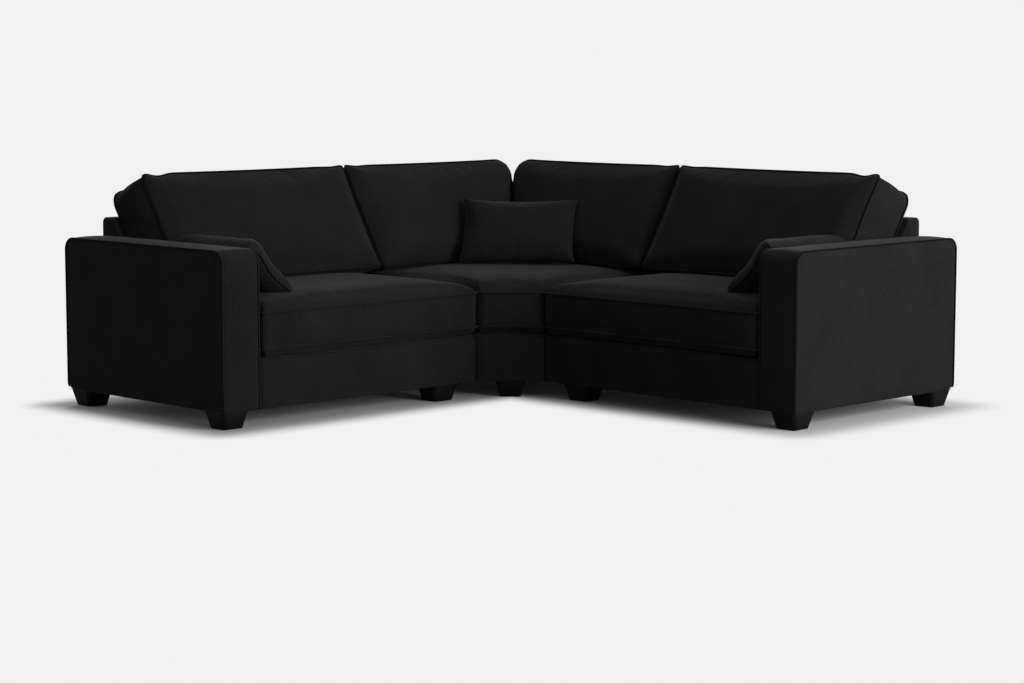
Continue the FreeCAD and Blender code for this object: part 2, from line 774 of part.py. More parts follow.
write_wings("feet", [moved(foot(0), u, v) for u, v in wing_feet])
write("feet_corner", [moved(foot(0), x, y) for x, y in corner_feet]
      + [moved(foot(45), chamfer_foot.x, chamfer_foot.y)])
half_block = block_width / 2
front_block_v = rail_front + rail + half_block
rear_block_v = rib_rear - rail - half_block
blocks = []
for u, v in wing_feet[:2]:
    blocks.append(foot_block(batten_start, batten_end, v - half_block, v + half_block, (u, v)))
blocks.append(block_round(*wing_feet[2], front_block_v))
blocks.append(block_round(*wing_feet[3], rear_block_v))
write_wings("foot_blocks", blocks)
corner_blocks = [block_round(*corner_feet[0], corner_feet[0][1])]
for place in (to_left, to_right):
    corner_blocks.append(place(block_round(wing_length + corner_foot_in, depth - foot_in, rear_block_v)))
corner_blocks.append(to_chamfer(block_round(0, foot_in, front_block_v)))
write("foot_blocks_corner", corner_blocks)
studs = [moved(stud(), x, y) for x, y in stud_places]
for place in wings.values():
    studs += [place(moved(stud(), u, v)) for u, v in wing_feet]
write("foot_studs", studs)


def hook_tongue_plate(v):
    """A flat plate under the wing, whose narrow end reaches over the joint."""
    low, half = foot_height - hook_plate, hook_width / 2
    plate_end, tip = wing_length - hook_tongue, wing_length + hook_tongue
    tongue = block(plate_end, tip, v - half / 2, v + half / 2, low, foot_height)
    return tongue.fuse(block(wing_length - hook_length, plate_end, v - half, v + half, low, foot_height))


def hook_pocket(v):
    """A pressed channel under the corner unit, which the tongue slides into."""
    half, inside = hook_width / 2, hook_width / 4 + soft_gap
    top, roof = foot_height, foot_height - hook_plate - soft_gap
    outside, flange, floor = inside + hook_plate, top - hook_plate, roof - hook_plate
    hat = [(-half, top), (-half, flange), (-outside, flange), (-outside, floor), (outside, floor),
           (outside, flange), (half, flange), (half, top), (inside, top), (inside, roof), (-inside, roof),
           (-inside, top)]
    pocket = [(v + a, z) for a, z in hat]
    return rail_along(pocket, at(wing_length + module_gap), at(wing_length + hook_length))


hooks = []
for v in hook_places:
    hooks += [hook_tongue_plate(v).removeSplitter(), hook_pocket(v)]
write("module_hooks", [place(one) for place in wings.values() for one in hooks])

# Scatter cushions


def knife_cushion(place, width, height):
    """A scatter cushion: two crowned faces that meet in one seam, with no border."""
    corners = [(-width / 2, 0), (width / 2, 0), (width / 2, height), (-width / 2, height)]
    seam = sewn(corners, even(scatter_round), scatter_draw)
    front = crowned(seam, 0, scatter_half, knife_rings)
    return stuffed(place, [(-n, spots) for n, spots in reversed(front[1:])] + front)


def settled(cushion, carriers, direction):
    """The cushion moved along a direction until it lies just clear of what carries it."""
    carrier = Part.makeCompound(carriers)
    clearance = 2 * soft_gap
    for attempt in range(settling_steps):
        gap = cushion.distToShape(carrier)[0]
        if 0 < gap < clearance + soft_gap / 2:
            break
        cushion = cushion.copy()
        cushion.translate(direction * (gap - clearance if gap > 0 else -step_back))
    print("settled", round(gap, 2), "mm clear")
    return cushion


def side_place(p, q, n):
    foot_u = arm_width + side_past_arm + side_scatter_height * math.sin(side_lean)
    foot_z = arm_top + side_above_arm - side_scatter_height * math.cos(side_lean)
    return Vector(foot_u - q * math.sin(side_lean) + n * math.cos(side_lean), side_middle + p,
                  foot_z + q * math.cos(side_lean) + n * math.sin(side_lean))


down = Vector(0, 0, -1)
side_scatter = knife_cushion(side_place, side_scatter_width, side_scatter_height)
side_scatter = settled(side_scatter, [wing_seat, arm_cover], down)
write_wings("scatter_cushion", [side_scatter])

# The middle one leans back across the corner, from one corner cushion to the other
diagonal = math.pi / 4 - centre_turn
across = Vector(math.cos(diagonal), math.sin(diagonal), 0)
towards = Vector(math.sin(diagonal), -math.cos(diagonal), 0)
reach = (depth - back_foot_v) * math.sqrt(2) + scatter_width / 2 + centre_start


def centre_place(p, q, n):
    foot_point = Vector(-overall / 2, overall / 2, seat_high_seam + seat_crown + step_back)
    foot_point = foot_point + Vector(1, -1, 0).normalize() * reach + across * centre_shift
    up = towards * -math.sin(centre_lean) + Vector(0, 0, math.cos(centre_lean))
    out = towards * math.cos(centre_lean) + Vector(0, 0, math.sin(centre_lean))
    return foot_point + across * p + up * q + out * n


centre_scatter = knife_cushion(centre_place, scatter_width, scatter_height)
corner_backs = [place(corner_back) for place in wings.values()]
corner_backs += [place(one) for place in wings.values() for one in corner_back_welts]
for attempt in range(settling_rounds):
    centre_scatter = settled(centre_scatter, [corner_seat], down)
    centre_scatter = settled(centre_scatter, corner_backs, -towards)
write("scatter_cushion_centre", [centre_scatter])
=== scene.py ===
import math
import bpy
import numpy as np
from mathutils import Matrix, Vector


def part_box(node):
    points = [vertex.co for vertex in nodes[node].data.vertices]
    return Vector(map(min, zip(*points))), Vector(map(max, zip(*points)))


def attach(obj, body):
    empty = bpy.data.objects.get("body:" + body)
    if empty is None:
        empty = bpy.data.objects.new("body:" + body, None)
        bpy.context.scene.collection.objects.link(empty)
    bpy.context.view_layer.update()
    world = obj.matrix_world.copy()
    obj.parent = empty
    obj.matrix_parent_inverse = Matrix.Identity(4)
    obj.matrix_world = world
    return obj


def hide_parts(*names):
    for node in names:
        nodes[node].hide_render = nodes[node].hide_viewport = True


# Charcoal corner sofa: padded arms, loose piped cushions, three scatter cushions, short black feet.
# Sizes in the dictionaries are millimetres. u runs along a wing from the outside of its arm, v runs back
# from its front, z is up. The left wing's u lies along +Y, the right wing's along -X.

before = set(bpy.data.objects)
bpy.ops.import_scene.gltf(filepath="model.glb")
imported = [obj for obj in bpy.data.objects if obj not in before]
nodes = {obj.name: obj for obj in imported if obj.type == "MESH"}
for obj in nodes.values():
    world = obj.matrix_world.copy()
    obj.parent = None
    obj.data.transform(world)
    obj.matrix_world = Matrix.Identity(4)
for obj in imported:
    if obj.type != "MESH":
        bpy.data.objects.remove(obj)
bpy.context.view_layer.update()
scene = bpy.context.scene
print("frame loaded:", len(nodes), "nodes")

sofa = {"half": 1180, "depth": 950, "front": 230, "wing": 1230, "arm": 170, "armTop": 632, "bottom": 64,
        "deck": 247.3, "seatRear": 702, "joint": 0.5, "clear": 0.3, "mitre": 1410, "cutMiddle": 140}
piping = {"radius": 4.0, "sides": 10, "out": 7.9, "step": 6}


# Placing: arrays of u, v, z in millimetres to points in metres

def leftWing(points):
    u, v, z = np.moveaxis(points, -1, 0)
    return np.stack([-sofa["front"] - v, u - sofa["half"], z], -1) / 1000


def rightWing(points):
    u, v, z = np.moveaxis(points, -1, 0)
    return np.stack([sofa["half"] - u, sofa["front"] + v, z], -1) / 1000


def cutFront(points):
    # turned 45 degrees about the middle of the corner unit's cut front
    u, v, z = np.moveaxis(points, -1, 0)
    middle, root = sofa["cutMiddle"], math.sqrt(0.5)
    return np.stack([(u - v) * root - middle, (u + v) * root + middle, z], -1) / 1000


def asDrawn(points):
    return points / 1000


# the second value says whether the placing mirrors the shape
wings = {"left": (leftWing, False), "right": (rightWing, True)}


# Surfaces

def spread(count):
    # even steps pulled halfway towards cosine steps, so that they are closer at both ends
    k = np.linspace(0, 1, count + 1)
    return 0.5 * k + 0.25 * (1 - np.cos(np.pi * k))


def roundedLine(corners, rounds):
    # a closed line: straight runs joined by tangent arcs of nine points each
    corners = np.asarray(corners, float)
    arcs = []
    for k, corner in enumerate(corners):
        before, after = corner - corners[k - 1], corners[(k + 1) % len(corners)] - corner
        before, after = before / np.hypot(*before), after / np.hypot(*after)
        turn = math.atan2(before[0] * after[1] - before[1] * after[0], before @ after)
        side = np.array([-before[1], before[0]])
        centre = corner - before * (rounds[k] * math.tan(turn / 2)) + side * rounds[k]
        angle = np.linspace(0, turn, 9)[:, None]
        arcs.append(centre + rounds[k] * (np.sin(angle) * before - np.cos(angle) * side))
    return np.concatenate(arcs)


def runOf(line):
    # how far along the line each of its points lies
    return np.r_[0, np.cumsum(np.hypot(*np.diff(line, axis=0).T))]


def pointsAt(at, run, line):
    return np.stack([np.interp(at, run, way) for way in line.T], -1)


def fourEdges(corners, rounds, ends, counts, sag):
    # the rounded line cut at four corners into edges, each drawn in by its own sag: the depth of a curve
    # sag(1 - x^2), or a function of x, which runs from -1 to 1 along the edge
    line = roundedLine(corners, rounds)
    closed = np.vstack([line, line[:1]])
    run = runOf(closed)
    edges = []
    for k in range(4):
        start, finish = run[9 * ends[k] + 4], run[9 * ends[(k + 1) % 4] + 4]
        finish += run[-1] * (finish <= start)
        share = spread(counts[k % 2])
        at = (start + (finish - start) * share) % run[-1]
        edge = pointsAt(at, run, closed)
        chord = edge[-1] - edge[0]
        inward = np.array([-chord[1], chord[0]]) / np.hypot(*chord)
        x = 2 * share - 1
        depth = sag[k](x) if callable(sag[k]) else sag[k] * (1 - x ** 2)
        edges.append(edge + inward * np.asarray(depth)[:, None])
    return edges


def stretched(edges, counts):
    # a surface over four edges: both pairs of opposite edges mixed, less the mix of the four corners
    low, right, high, left = edges[0], edges[1], edges[2][::-1], edges[3][::-1]
    s, t = spread(counts[0])[:, None, None], spread(counts[1])[None, :, None]
    mixed = (1 - t) * low[:, None] + t * high[:, None] + (1 - s) * left[None] + s * right[None]
    return mixed - ((1 - s) * (1 - t) * low[0] + s * (1 - t) * low[-1] + (1 - s) * t * high[0]
                    + s * t * high[-1])


def swell(counts, power):
    # root of 1 - x^power both ways, joined by a soft minimum: level in the middle, steep at the seams
    gx, gy = (np.sqrt(np.clip(1 - np.abs(2 * spread(c) - 1) ** power, 1e-6, 1)) for c in counts)
    both = (gx[:, None] ** -4.0 + gy[None] ** -4.0 - 1) ** -0.25
    both[[0, -1]] = 0
    both[:, [0, -1]] = 0
    return both


def ringOf(grid):
    # the edge of a grid, once round
    return np.concatenate([grid[:-1, 0], grid[-1, :-1], grid[:0:-1, -1], grid[0, :0:-1]])


def quadsOf(index):
    return np.stack([index[:-1, :-1], index[1:, :-1], index[1:, 1:], index[:-1, 1:]], -1).reshape(-1, 4)


def lengthsOf(grid):
    # a flat map of a grid in metres, from the mean lengths of its rows and columns
    along = np.linalg.norm(np.diff(grid, axis=0), axis=-1).mean(1).cumsum()
    across = np.linalg.norm(np.diff(grid, axis=1), axis=-1).mean(0).cumsum()
    return np.stack(np.meshgrid(np.r_[0, along], np.r_[0, across], indexing="ij"), -1) / 1000


def closedForm(low, high, rows, bulge):
    # two panels and the border between them, in rows that swell by bulge * 4t(1-t) away from both seams.
    # With no rows the panels meet in one seam.
    shape = high.shape[:2]
    count = shape[0] * shape[1]
    top = np.arange(count).reshape(shape)
    bottom = top + count
    points = [high.reshape(-1, 3), low.reshape(-1, 3)]
    if rows == 0:
        bottom[[0, -1]] = top[[0, -1]]
        bottom[:, [0, -1]] = top[:, [0, -1]]
    faces = [quadsOf(top), quadsOf(bottom)[:, ::-1]]
    maps = [lengthsOf(high).reshape(-1, 2)[quadsOf(top)],
            lengthsOf(low).reshape(-1, 2)[quadsOf(top)[:, ::-1]]]
    seams = np.zeros(2 * count, bool)
    seams[ringOf(top)] = seams[ringOf(bottom)] = True
    if rows:
        under, over = ringOf(low), ringOf(high)
        t = (np.arange(1, rows) / rows)[:, None, None]
        mixed = (1 - t) * under + t * over
        tangent = np.roll(mixed, -1, 1) - np.roll(mixed, 1, 1)
        tangent /= np.linalg.norm(tangent, axis=-1, keepdims=True)
        outward = np.stack([tangent[..., 1], -tangent[..., 0], np.zeros(tangent.shape[:2])], -1)
        even = [np.sqrt(1 - (2 * spread(c)[:-1] - 1) ** 4) for c in (shape[0] - 1, shape[1] - 1)] * 2
        weight = np.concatenate([even[k] * bulge[k] for k in range(4)])[None, :, None]
        mixed = mixed + outward * weight * 4 * t * (1 - t)
        points.append(mixed.reshape(-1, 3))
        size = len(under)
        inner = 2 * count + np.arange((rows - 1) * size).reshape(rows - 1, size)
        index = np.vstack([ringOf(bottom), inner, ringOf(top)])
        index = np.hstack([index, index[:, :1]])
        border = np.vstack([under[None], mixed, over[None]])
        flat = lengthsOf(np.concatenate([border, border[:, :1]], 1))
        plain = np.arange(index.size).reshape(index.shape)
        faces.append(quadsOf(index)[:, ::-1])
        maps.append(flat[..., ::-1].reshape(-1, 2)[quadsOf(plain)[:, ::-1]])
        seams = np.r_[seams, np.zeros(len(points[-1]), bool)]
    return {"points": np.concatenate(points), "faces": np.concatenate(faces), "map": np.concatenate(maps),
            "seams": seams, "panel": count, "shape": shape}


def carried(rings, closed=False):
    # rings of points joined station by station, either into a loop or with a flat cap at each end
    count, size = rings.shape[:2]
    index = np.arange(count * size).reshape(count, size)
    if closed:
        index, rings = np.vstack([index, index[:1]]), np.concatenate([rings, rings[:1]])
    index = np.hstack([index, index[:, :1]])
    flat = lengthsOf(np.concatenate([rings, rings[:, :1]], 1))
    plain = np.arange(index.size).reshape(index.shape)
    form = {"points": rings[:count].reshape(-1, 3), "faces": quadsOf(index)[:, ::-1],
            "map": flat.reshape(-1, 2)[quadsOf(plain)[:, ::-1]]}
    if not closed:
        form["caps"] = [index[0, :-1][::-1], index[-1, :-1]]
        form["capMap"] = [rings[0][::-1, :2] / 1000, rings[-1][:, :2] / 1000]
    return form


def tubeAlong(path, closed, radius, up):
    # a round cord about a path: each ring stands square to the path, the first axis across up
    ahead = np.roll(path, -1, 0) - np.roll(path, 1, 0)
    if not closed:
        ahead[0], ahead[-1] = path[1] - path[0], path[-1] - path[-2]
    ahead /= np.linalg.norm(ahead, axis=1, keepdims=True)
    side = np.cross(up, ahead)
    side /= np.linalg.norm(side, axis=1, keepdims=True)
    lift = np.cross(ahead, side)
    turn = np.linspace(0, 2 * np.pi, piping["sides"], endpoint=False)[None, :, None]
    rings = path[:, None] + radius * (np.cos(turn) * side[:, None] + np.sin(turn) * lift[:, None])
    return carried(rings, closed)


def joined(forms):
    # several forms as one mesh
    start, out = 0, {"points": [], "faces": [], "map": [], "caps": [], "capMap": []}
    for form in forms:
        out["points"].append(form["points"])
        out["faces"].append(form["faces"] + start)
        out["map"].append(form["map"])
        out["caps"] += [cap + start for cap in form.get("caps", [])]
        out["capMap"] += form.get("capMap", [])
        start += len(form["points"])
    for key in ("points", "faces", "map"):
        out[key] = np.concatenate(out[key])
    return out


def toObject(name, form, place, mirrored=False):
    # the arrays go into a mesh, turned round where the placing mirrors them
    caps, capMap = form.get("caps", []), form.get("capMap", [])
    turn = slice(None, None, -1) if mirrored else slice(None)
    loops = np.concatenate([form["faces"][:, turn].ravel()] + [cap[turn] for cap in caps])
    flat = np.concatenate([form["map"][:, turn].reshape(-1, 2)] + [one[turn] for one in capMap])
    sizes = np.r_[np.full(len(form["faces"]), 4), [len(cap) for cap in caps]].astype(int)
    mesh = bpy.data.meshes.new(name)
    points = place(form["points"])
    mesh.vertices.add(len(points))
    mesh.vertices.foreach_set("co", points.astype(np.float32).ravel())
    mesh.loops.add(len(loops))
    mesh.loops.foreach_set("vertex_index", loops.astype(np.int32))
    mesh.polygons.add(len(sizes))
    mesh.polygons.foreach_set("loop_start", np.r_[0, np.cumsum(sizes)[:-1]].astype(np.int32))
    mesh.update(calc_edges=True)
    mesh.polygons.foreach_set("use_smooth", np.ones(len(sizes), bool))
    mesh.uv_layers.new(name="cloth").data.foreach_set("uv", flat.astype(np.float32).ravel())
    mesh.validate()
    piece = bpy.data.objects.new(name, mesh)
    scene.collection.objects.link(piece)
    return piece


def finishPiece(piece, material, body, replaced, levels=0):
    piece.data.materials.append(material)
    if levels:
        smooth = piece.modifiers.new("smooth", "SUBSURF")
        smooth.levels = smooth.render_levels = levels
    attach(piece, body)
    if replaced:
        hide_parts(*replaced)
    return piece


# Materials

def toLinear(code):
    # sRGB hex to linear light
    value = np.array([int(code[k:k + 2], 16) for k in (1, 3, 5)]) / 255
    light = np.where(value <= 0.04045, value / 12.92, ((value + 0.055) / 1.055) ** 2.4)
    return (*light.tolist(), 1.0)


def addNode(tree, kind, values=None, links=None, **settings):
    node = tree.nodes.new("ShaderNode" + kind)
    for name, value in settings.items():
        setattr(node, name, value)
    for socket, value in (values or {}).items():
        node.inputs[socket].default_value = value
    for socket, source in (links or {}).items():
        tree.links.new(source, node.inputs[socket])
    return node


def startMaterial(name):
    material = bpy.data.materials.new(name)
    material.use_nodes = True
    tree = material.node_tree
    tree.nodes.clear()
    shader = addNode(tree, "BsdfPrincipled")
    addNode(tree, "OutputMaterial", links={"Surface": shader.outputs["BSDF"]})
    return material, tree, shader


def wovenCloth(name, look):
    # Flat-woven polyester upholstery, brushed: matt, almost black-grey, with a fine slanting grain of pale
    # and dark yarns and a soft nap that lights up where it is seen edge on.
    # Yarns are 0.8 mm apart, too fine for the picture: eight are drawn as one of 6.4 mm, and the grain that
    # they make together is 4 mm wide.
    material, tree, shader = startMaterial(name)
    flat = addNode(tree, "UVMap", uv_map="cloth").outputs["UV"]
    body = addNode(tree, "TexCoord").outputs["Object"]
    slant = addNode(tree, "Mapping", {"Rotation": (0, 0, math.radians(52)), "Scale": (1.0, 0.38, 1.0)},
                    {"Vector": flat})
    grain = addNode(tree, "TexNoise", {"Scale": 1000 / look["grain"], "Detail": 3.0, "Roughness": 0.6},
                    {"Vector": slant.outputs["Vector"]})
    mottle = addNode(tree, "TexNoise", {"Scale": 1000 / look["mottle"], "Detail": 2.0},
                     {"Vector": body})
    both = addNode(tree, "Math", {1: look["mottleShare"]}, {0: mottle.outputs["Fac"]},
                   operation="MULTIPLY")
    total = addNode(tree, "Math", links={0: both.outputs[0], 1: grain.outputs["Fac"]}, operation="ADD")
    tone = addNode(tree, "MapRange", {"From Min": 0.28 + look["mottleShare"] * 0.35,
                                      "From Max": 0.72 + look["mottleShare"] * 0.65},
                   {"Value": total.outputs[0]})
    colour = addNode(tree, "Mix", {"A": toLinear(look["dark"]), "B": toLinear(look["pale"])},
                     {"Factor": tone.outputs["Result"]}, data_type="RGBA")
    yarns = []
    for turned in (False, True):
        yarns.append(addNode(tree, "TexWave", {"Scale": math.pi * 100 / look["yarns"],
                                               "Distortion": 0.6, "Detail": 1.0, "Detail Scale": 2.0},
                             {"Vector": flat}, bands_direction="Y" if turned else "X"))
    weave = addNode(tree, "Math", links={0: yarns[0].outputs["Fac"], 1: yarns[1].outputs["Fac"]},
                    operation="MAXIMUM")
    relief = addNode(tree, "Math", {1: 0.3}, {0: weave.outputs[0], 2: grain.outputs["Fac"]},
                     operation="MULTIPLY_ADD")
    bump = addNode(tree, "Bump", {"Strength": look["bump"], "Distance": 0.0006},
                   {"Height": relief.outputs[0]})
    rough = addNode(tree, "MapRange", {"To Min": 0.82, "To Max": 0.97},
                    {"Value": grain.outputs["Fac"]})
    if "cord" in look:
        # a cord is seen as a pale line with a groove on each side, whose dark is painted shade: the map's
        # second value runs round it from the side that lies in the seam, and half way round is the side that
        # is seen; towards the seam the colour turns to the painted shade
        aroundCord = addNode(tree, "SeparateXYZ", links={0: flat}).outputs["Y"]
        halfWay = look["cord"] * piping["sides"] * math.sin(math.pi / piping["sides"]) / 1000
        away = addNode(tree, "Math", {1: halfWay}, {0: aroundCord}, operation="SUBTRACT")
        aside = addNode(tree, "Math", links={0: away.outputs[0]}, operation="ABSOLUTE")
        paintedGrooveShade = addNode(tree, "MapRange", {"From Min": look["cord"] * 0.3 / 1000,
                                            "From Max": look["cord"] * 0.8 / 1000},
                         {"Value": aside.outputs[0]}, interpolation_type="SMOOTHSTEP")
        colour = addNode(tree, "Mix", {"B": toLinear(look["paintedGrooveShade"])},
                         {"Factor": paintedGrooveShade.outputs["Result"], "A": colour.outputs["Result"]},
                         data_type="RGBA")
    tree.links.new(colour.outputs["Result"], shader.inputs["Base Color"])
    tree.links.new(rough.outputs["Result"], shader.inputs["Roughness"])
    tree.links.new(bump.outputs["Normal"], shader.inputs["Normal"])
    shader.inputs["Specular IOR Level"].default_value = 0.08
    shader.inputs["Sheen Weight"].default_value = look["nap"]
    shader.inputs["Sheen Roughness"].default_value = 0.45
    return material


clothLook = {"dark": "#131314", "pale": "#2A2A2B", "grain": 4, "mottle": 160, "mottleShare": 0.35,
             "yarns": 6.4, "bump": 0.6, "nap": 0.04}
# the piping's near-black groove colour is painted shade on the sides of each cord, next to the seam
pipingLook = {**clothLook, "dark": "#1B1B1C", "pale": "#2C2C2D", "grain": 3, "nap": 0.06,
              "cord": piping["radius"], "paintedGrooveShade": "#050505"}
brushedPolyester = wovenCloth("brushedPolyester", clothLook)
biasPiping = wovenCloth("biasCutPiping", pipingLook)
print("cloth ready")


def finishPad(piece, body, replaced, levels=0):
    return finishPiece(piece, brushedPolyester, body, replaced, levels)


def finishCord(piece, body, replaced):
    return finishPiece(piece, biasPiping, body, replaced)


# Arms: two side panels with a crowned strip between them

arm = {"rearRound": 20, "frontRound": 5, "topRound": 44, "puff": 5.5, "crown": 6.5, "counts": (60, 40),
       "rows": 14, "rear": 946.5, "cordIn": 1.8, "fill": 0.9}


def armOutline(grow=0.0):
    low, top, rear = sofa["bottom"] + 0.5 - grow, sofa["armTop"] + grow, arm["rear"] + grow
    return ([(-grow, low), (rear, low), (rear, top), (-grow, top)],
            [arm["frontRound"], arm["rearRound"], arm["topRound"], arm["topRound"]])


def armForm():
    # drawn in v and z, with u as the height of the panels, which puff by root(1 - x^12); the strip between
    # them is crowned at the front and top, half as much at the rear, and straight below
    counts = arm["counts"]
    corners, rounds = armOutline()
    panel = stretched(fourEdges(corners, rounds, (0, 1, 2, 3), counts, (0, 0, 0, 0)), counts)
    puff = arm["puff"] * swell(counts, 12)
    outer, inner = piping["out"], sofa["arm"] - piping["out"]
    low = np.concatenate([panel, (outer - puff)[..., None]], -1)
    high = np.concatenate([panel, (inner + puff * 0.3)[..., None]], -1)
    form = closedForm(low, high, arm["rows"], (0, arm["crown"] * 0.5, arm["crown"], arm["crown"]))
    form["points"] = form["points"][:, [2, 0, 1]]
    return form


def openPath(corners, rounds, first, last, step):
    # the part of a rounded line from one corner on to another
    line = roundedLine(corners, rounds)
    part = line[9 * first + 4:9 * last + 5]
    run = runOf(part)
    return pointsAt(np.linspace(0, run[-1], int(run[-1] / step)), run, part)


def armPipingForm():
    corners, rounds = armOutline(-arm["cordIn"])
    order = [1, 2, 3, 0]
    corners, rounds = [corners[k] for k in order], [rounds[k] for k in order]
    path = openPath(corners, rounds, 0, 3, piping["step"])
    cords = []
    reach = piping["radius"] + 1
    for u in (reach, sofa["arm"] - reach):
        line = np.column_stack([np.full(len(path), u), path])
        cords.append(tubeAlong(line, False, piping["radius"], np.array([1.0, 0, 0])))
    return joined(cords)


armShape, armPiping = armForm(), armPipingForm()
for side, (place, mirrored) in wings.items():
    piece = toObject(f"arm_pad_{side}", armShape, place, mirrored)
    finishPad(piece, "root", [f"arm_cover_{side}"], 1)
    piece = toObject(f"arm_welt_{side}", armPiping, place, mirrored)
    finishCord(piece, "root", [f"arm_piping_{side}"])
print("arms made")


# Padded fronts of the base, and the fixed backs: one outline carried along u

base = {"padding": 32, "lip": 62, "lipTop": 247, "lipUnder": 242.9, "topRound": 22, "bottomRound": 6,
        "endRound": 20, "station": 24, "step": 24, "drop": 6, "fill": 0.8, "cut": 180, "cutClear": 0.7}


def denseRing(corners, rounds, step):
    line = roundedLine(corners, rounds)
    closed = np.vstack([line, line[:1]])
    run = runOf(closed)
    keep = np.r_[True, np.diff(run) > 0.05]
    run, closed = run[keep], closed[keep]
    at = np.unique(np.r_[run[:-1], np.arange(0, run[-1] - step / 3, step)])
    return pointsAt(at, run, closed)


def easedStations(start, end, roundStart, roundEnd, step):
    # stations along u, close together in the rounded ends; each with how far the outline is drawn in there:
    # r - root(r^2 - (r - s)^2) at s from an end
    bend = np.linspace(0, np.pi / 2, 7)
    first = start + roundStart * (1 - np.cos(bend)) if roundStart else np.array([start])
    last = end - roundEnd * (1 - np.cos(bend[::-1])) if roundEnd else np.array([end])
    middle = np.linspace(first[-1], last[0], max(2, int((last[0] - first[-1]) / step)))[1:-1]
    drawStart = roundStart * (1 - np.sin(bend)) if roundStart else np.zeros(1)
    drawEnd = roundEnd * (1 - np.sin(bend[::-1])) if roundEnd else np.zeros(1)
    return np.r_[first, middle, last], np.r_[drawStart, 0 * middle, drawEnd]


def baseForm(start, end, roundStart, roundEnd, mitred=0.0):
    b = base
    low = sofa["bottom"] + sofa["clear"]
    corners = [(0, low), (b["padding"], low), (b["padding"], b["lipUnder"]), (b["lip"], b["lipUnder"]),
               (b["lip"], b["lipTop"]), (b["step"] + b["drop"], b["lipTop"]),
               (b["step"], b["lipTop"] - b["drop"]), (0, b["lipTop"] - b["drop"])]
    ring = denseRing(corners, [b["bottomRound"], 0.5, 0.5, 0.5, 1.0, 2, 2, b["topRound"]], 16)
    stations, drawn = easedStations(start, end, roundStart, roundEnd, b["station"])
    v, z = ring[:, 0][None], ring[:, 1][None]
    drawn = drawn[:, None]
    # the front, top and foot are drawn in; what lies against the timber stays
    v = np.where(v < b["padding"] - 2, np.minimum(v + drawn, b["padding"] - 1), v + 0 * drawn)
    ceiling = b["lipTop"] - drawn * (ring[:, 0] < b["padding"])
    z = np.where(z > b["lipTop"] - b["topRound"], np.minimum(z, ceiling), z)
    z = np.where(z < low + 8, z + drawn, z)
    u = stations[:, None] + 0 * v
    if mitred:
        share = (2 * (stations - start) / (end - start) - 1)[:, None]
        u = u + share * v * mitred
    return carried(np.stack([u, v, z + 0 * u], -1))


wingBase = baseForm(sofa["arm"] + sofa["clear"], sofa["wing"] - sofa["joint"], 0, base["endRound"])
for side, (place, mirrored) in wings.items():
    piece = toObject(f"base_front_{side}", wingBase, place, mirrored)
    finishPad(piece, "root", [f"base_cover_{side}"])
halfCut = base["cut"] / math.sqrt(2) - base["cutClear"]
cornerBase = baseForm(-halfCut, halfCut, 0, 0, mitred=1.0)
piece = toObject("base_front_corner", cornerBase, cutFront)
finishPad(piece, "root", ["base_cover_corner"])

lean = math.radians(30.8)
fixedBack = {"top": 700, "round": 16, "endRound": 12, "jointRound": 6, "puff": 4, "station": 30, "fill": 0.8,
             "seam": (546, 471), "cushion": 165, "clear": 0.6, "inset": 3}


def fixedBackForm(start, end, roundStart, roundEnd, mitred):
    # the outline drawn in at the ends; the rear panel puffs by root(1 - x^8) between its edges
    b = fixedBack
    outside, low = sofa["depth"] - b["inset"], sofa["bottom"] + sofa["clear"]
    corners = [(sofa["seatRear"], low), (outside, low), (outside, b["top"]), (b["topV"], b["top"]), b["knee"]]
    ring = denseRing(corners, [1.5, 6, b["round"], b["round"] * 0.7, 8], 24)
    stations, drawn = easedStations(start, end, roundStart, roundEnd, b["station"])
    middle = np.array([(sofa["seatRear"] + sofa["depth"]) / 2, (sofa["bottom"] + b["top"]) / 2])
    reach = np.array([(sofa["depth"] - sofa["seatRear"]) / 2, (b["top"] - sofa["bottom"]) / 2])
    inward = np.clip((middle - ring) / (reach * 0.5), -1, 1)[None]
    points = ring[None] + inward * drawn[:, None, None]
    rear = ring[:, 0] > outside - 1
    x = 2 * (stations - start) / (end - start) - 1
    y = (ring[:, 1] - sofa["bottom"]) / (b["top"] - sofa["bottom"]) * 2 - 1
    riseAlong = np.sqrt(np.clip(1 - x ** 8, 0, 1))[:, None]
    riseUp = np.sqrt(np.clip(1 - y ** 8, 0, 1))[None]
    v = points[..., 0] + riseAlong * riseUp * rear * b["puff"]
    u = stations[:, None] + 0 * v
    if mitred:
        # the last stations lean over to the mitre
        share = ((stations - start) / (end - start))[:, None]
        u = start + (end + v - start) * share
    return carried(np.stack([u, v, points[..., 1]], -1))


# the slope starts at the rear of the seat, a little behind the cushion that leans on it
seamV, seamZ = fixedBack["seam"]
slopeV = seamV + fixedBack["cushion"] * math.cos(lean) + fixedBack["clear"] / math.cos(lean)
kneeZ = seamZ - fixedBack["cushion"] * math.sin(lean) + (sofa["seatRear"] - slopeV) / math.tan(lean)
fixedBack["knee"] = (sofa["seatRear"], kneeZ)
fixedBack["topV"] = sofa["seatRear"] + (fixedBack["top"] - kneeZ) * math.tan(lean)
for side, (place, mirrored) in wings.items():
    ends = (sofa["arm"] + sofa["clear"], sofa["wing"] - sofa["joint"])
    form = fixedBackForm(*ends, fixedBack["endRound"], fixedBack["jointRound"], False)
    piece = toObject(f"back_panel_{side}", form, place, mirrored)
    finishPad(piece, "root", [f"back_cover_{side}"])
    ends = (sofa["wing"] + sofa["joint"], sofa["mitre"] - sofa["clear"])
    form = fixedBackForm(*ends, fixedBack["jointRound"], 0, True)
    piece = toObject(f"back_panel_corner_{side}", form, place, mirrored)
    finishPad(piece, "root", [f"back_cover_corner_{side}"])
print("base and fixed backs made")


# Seat cushions

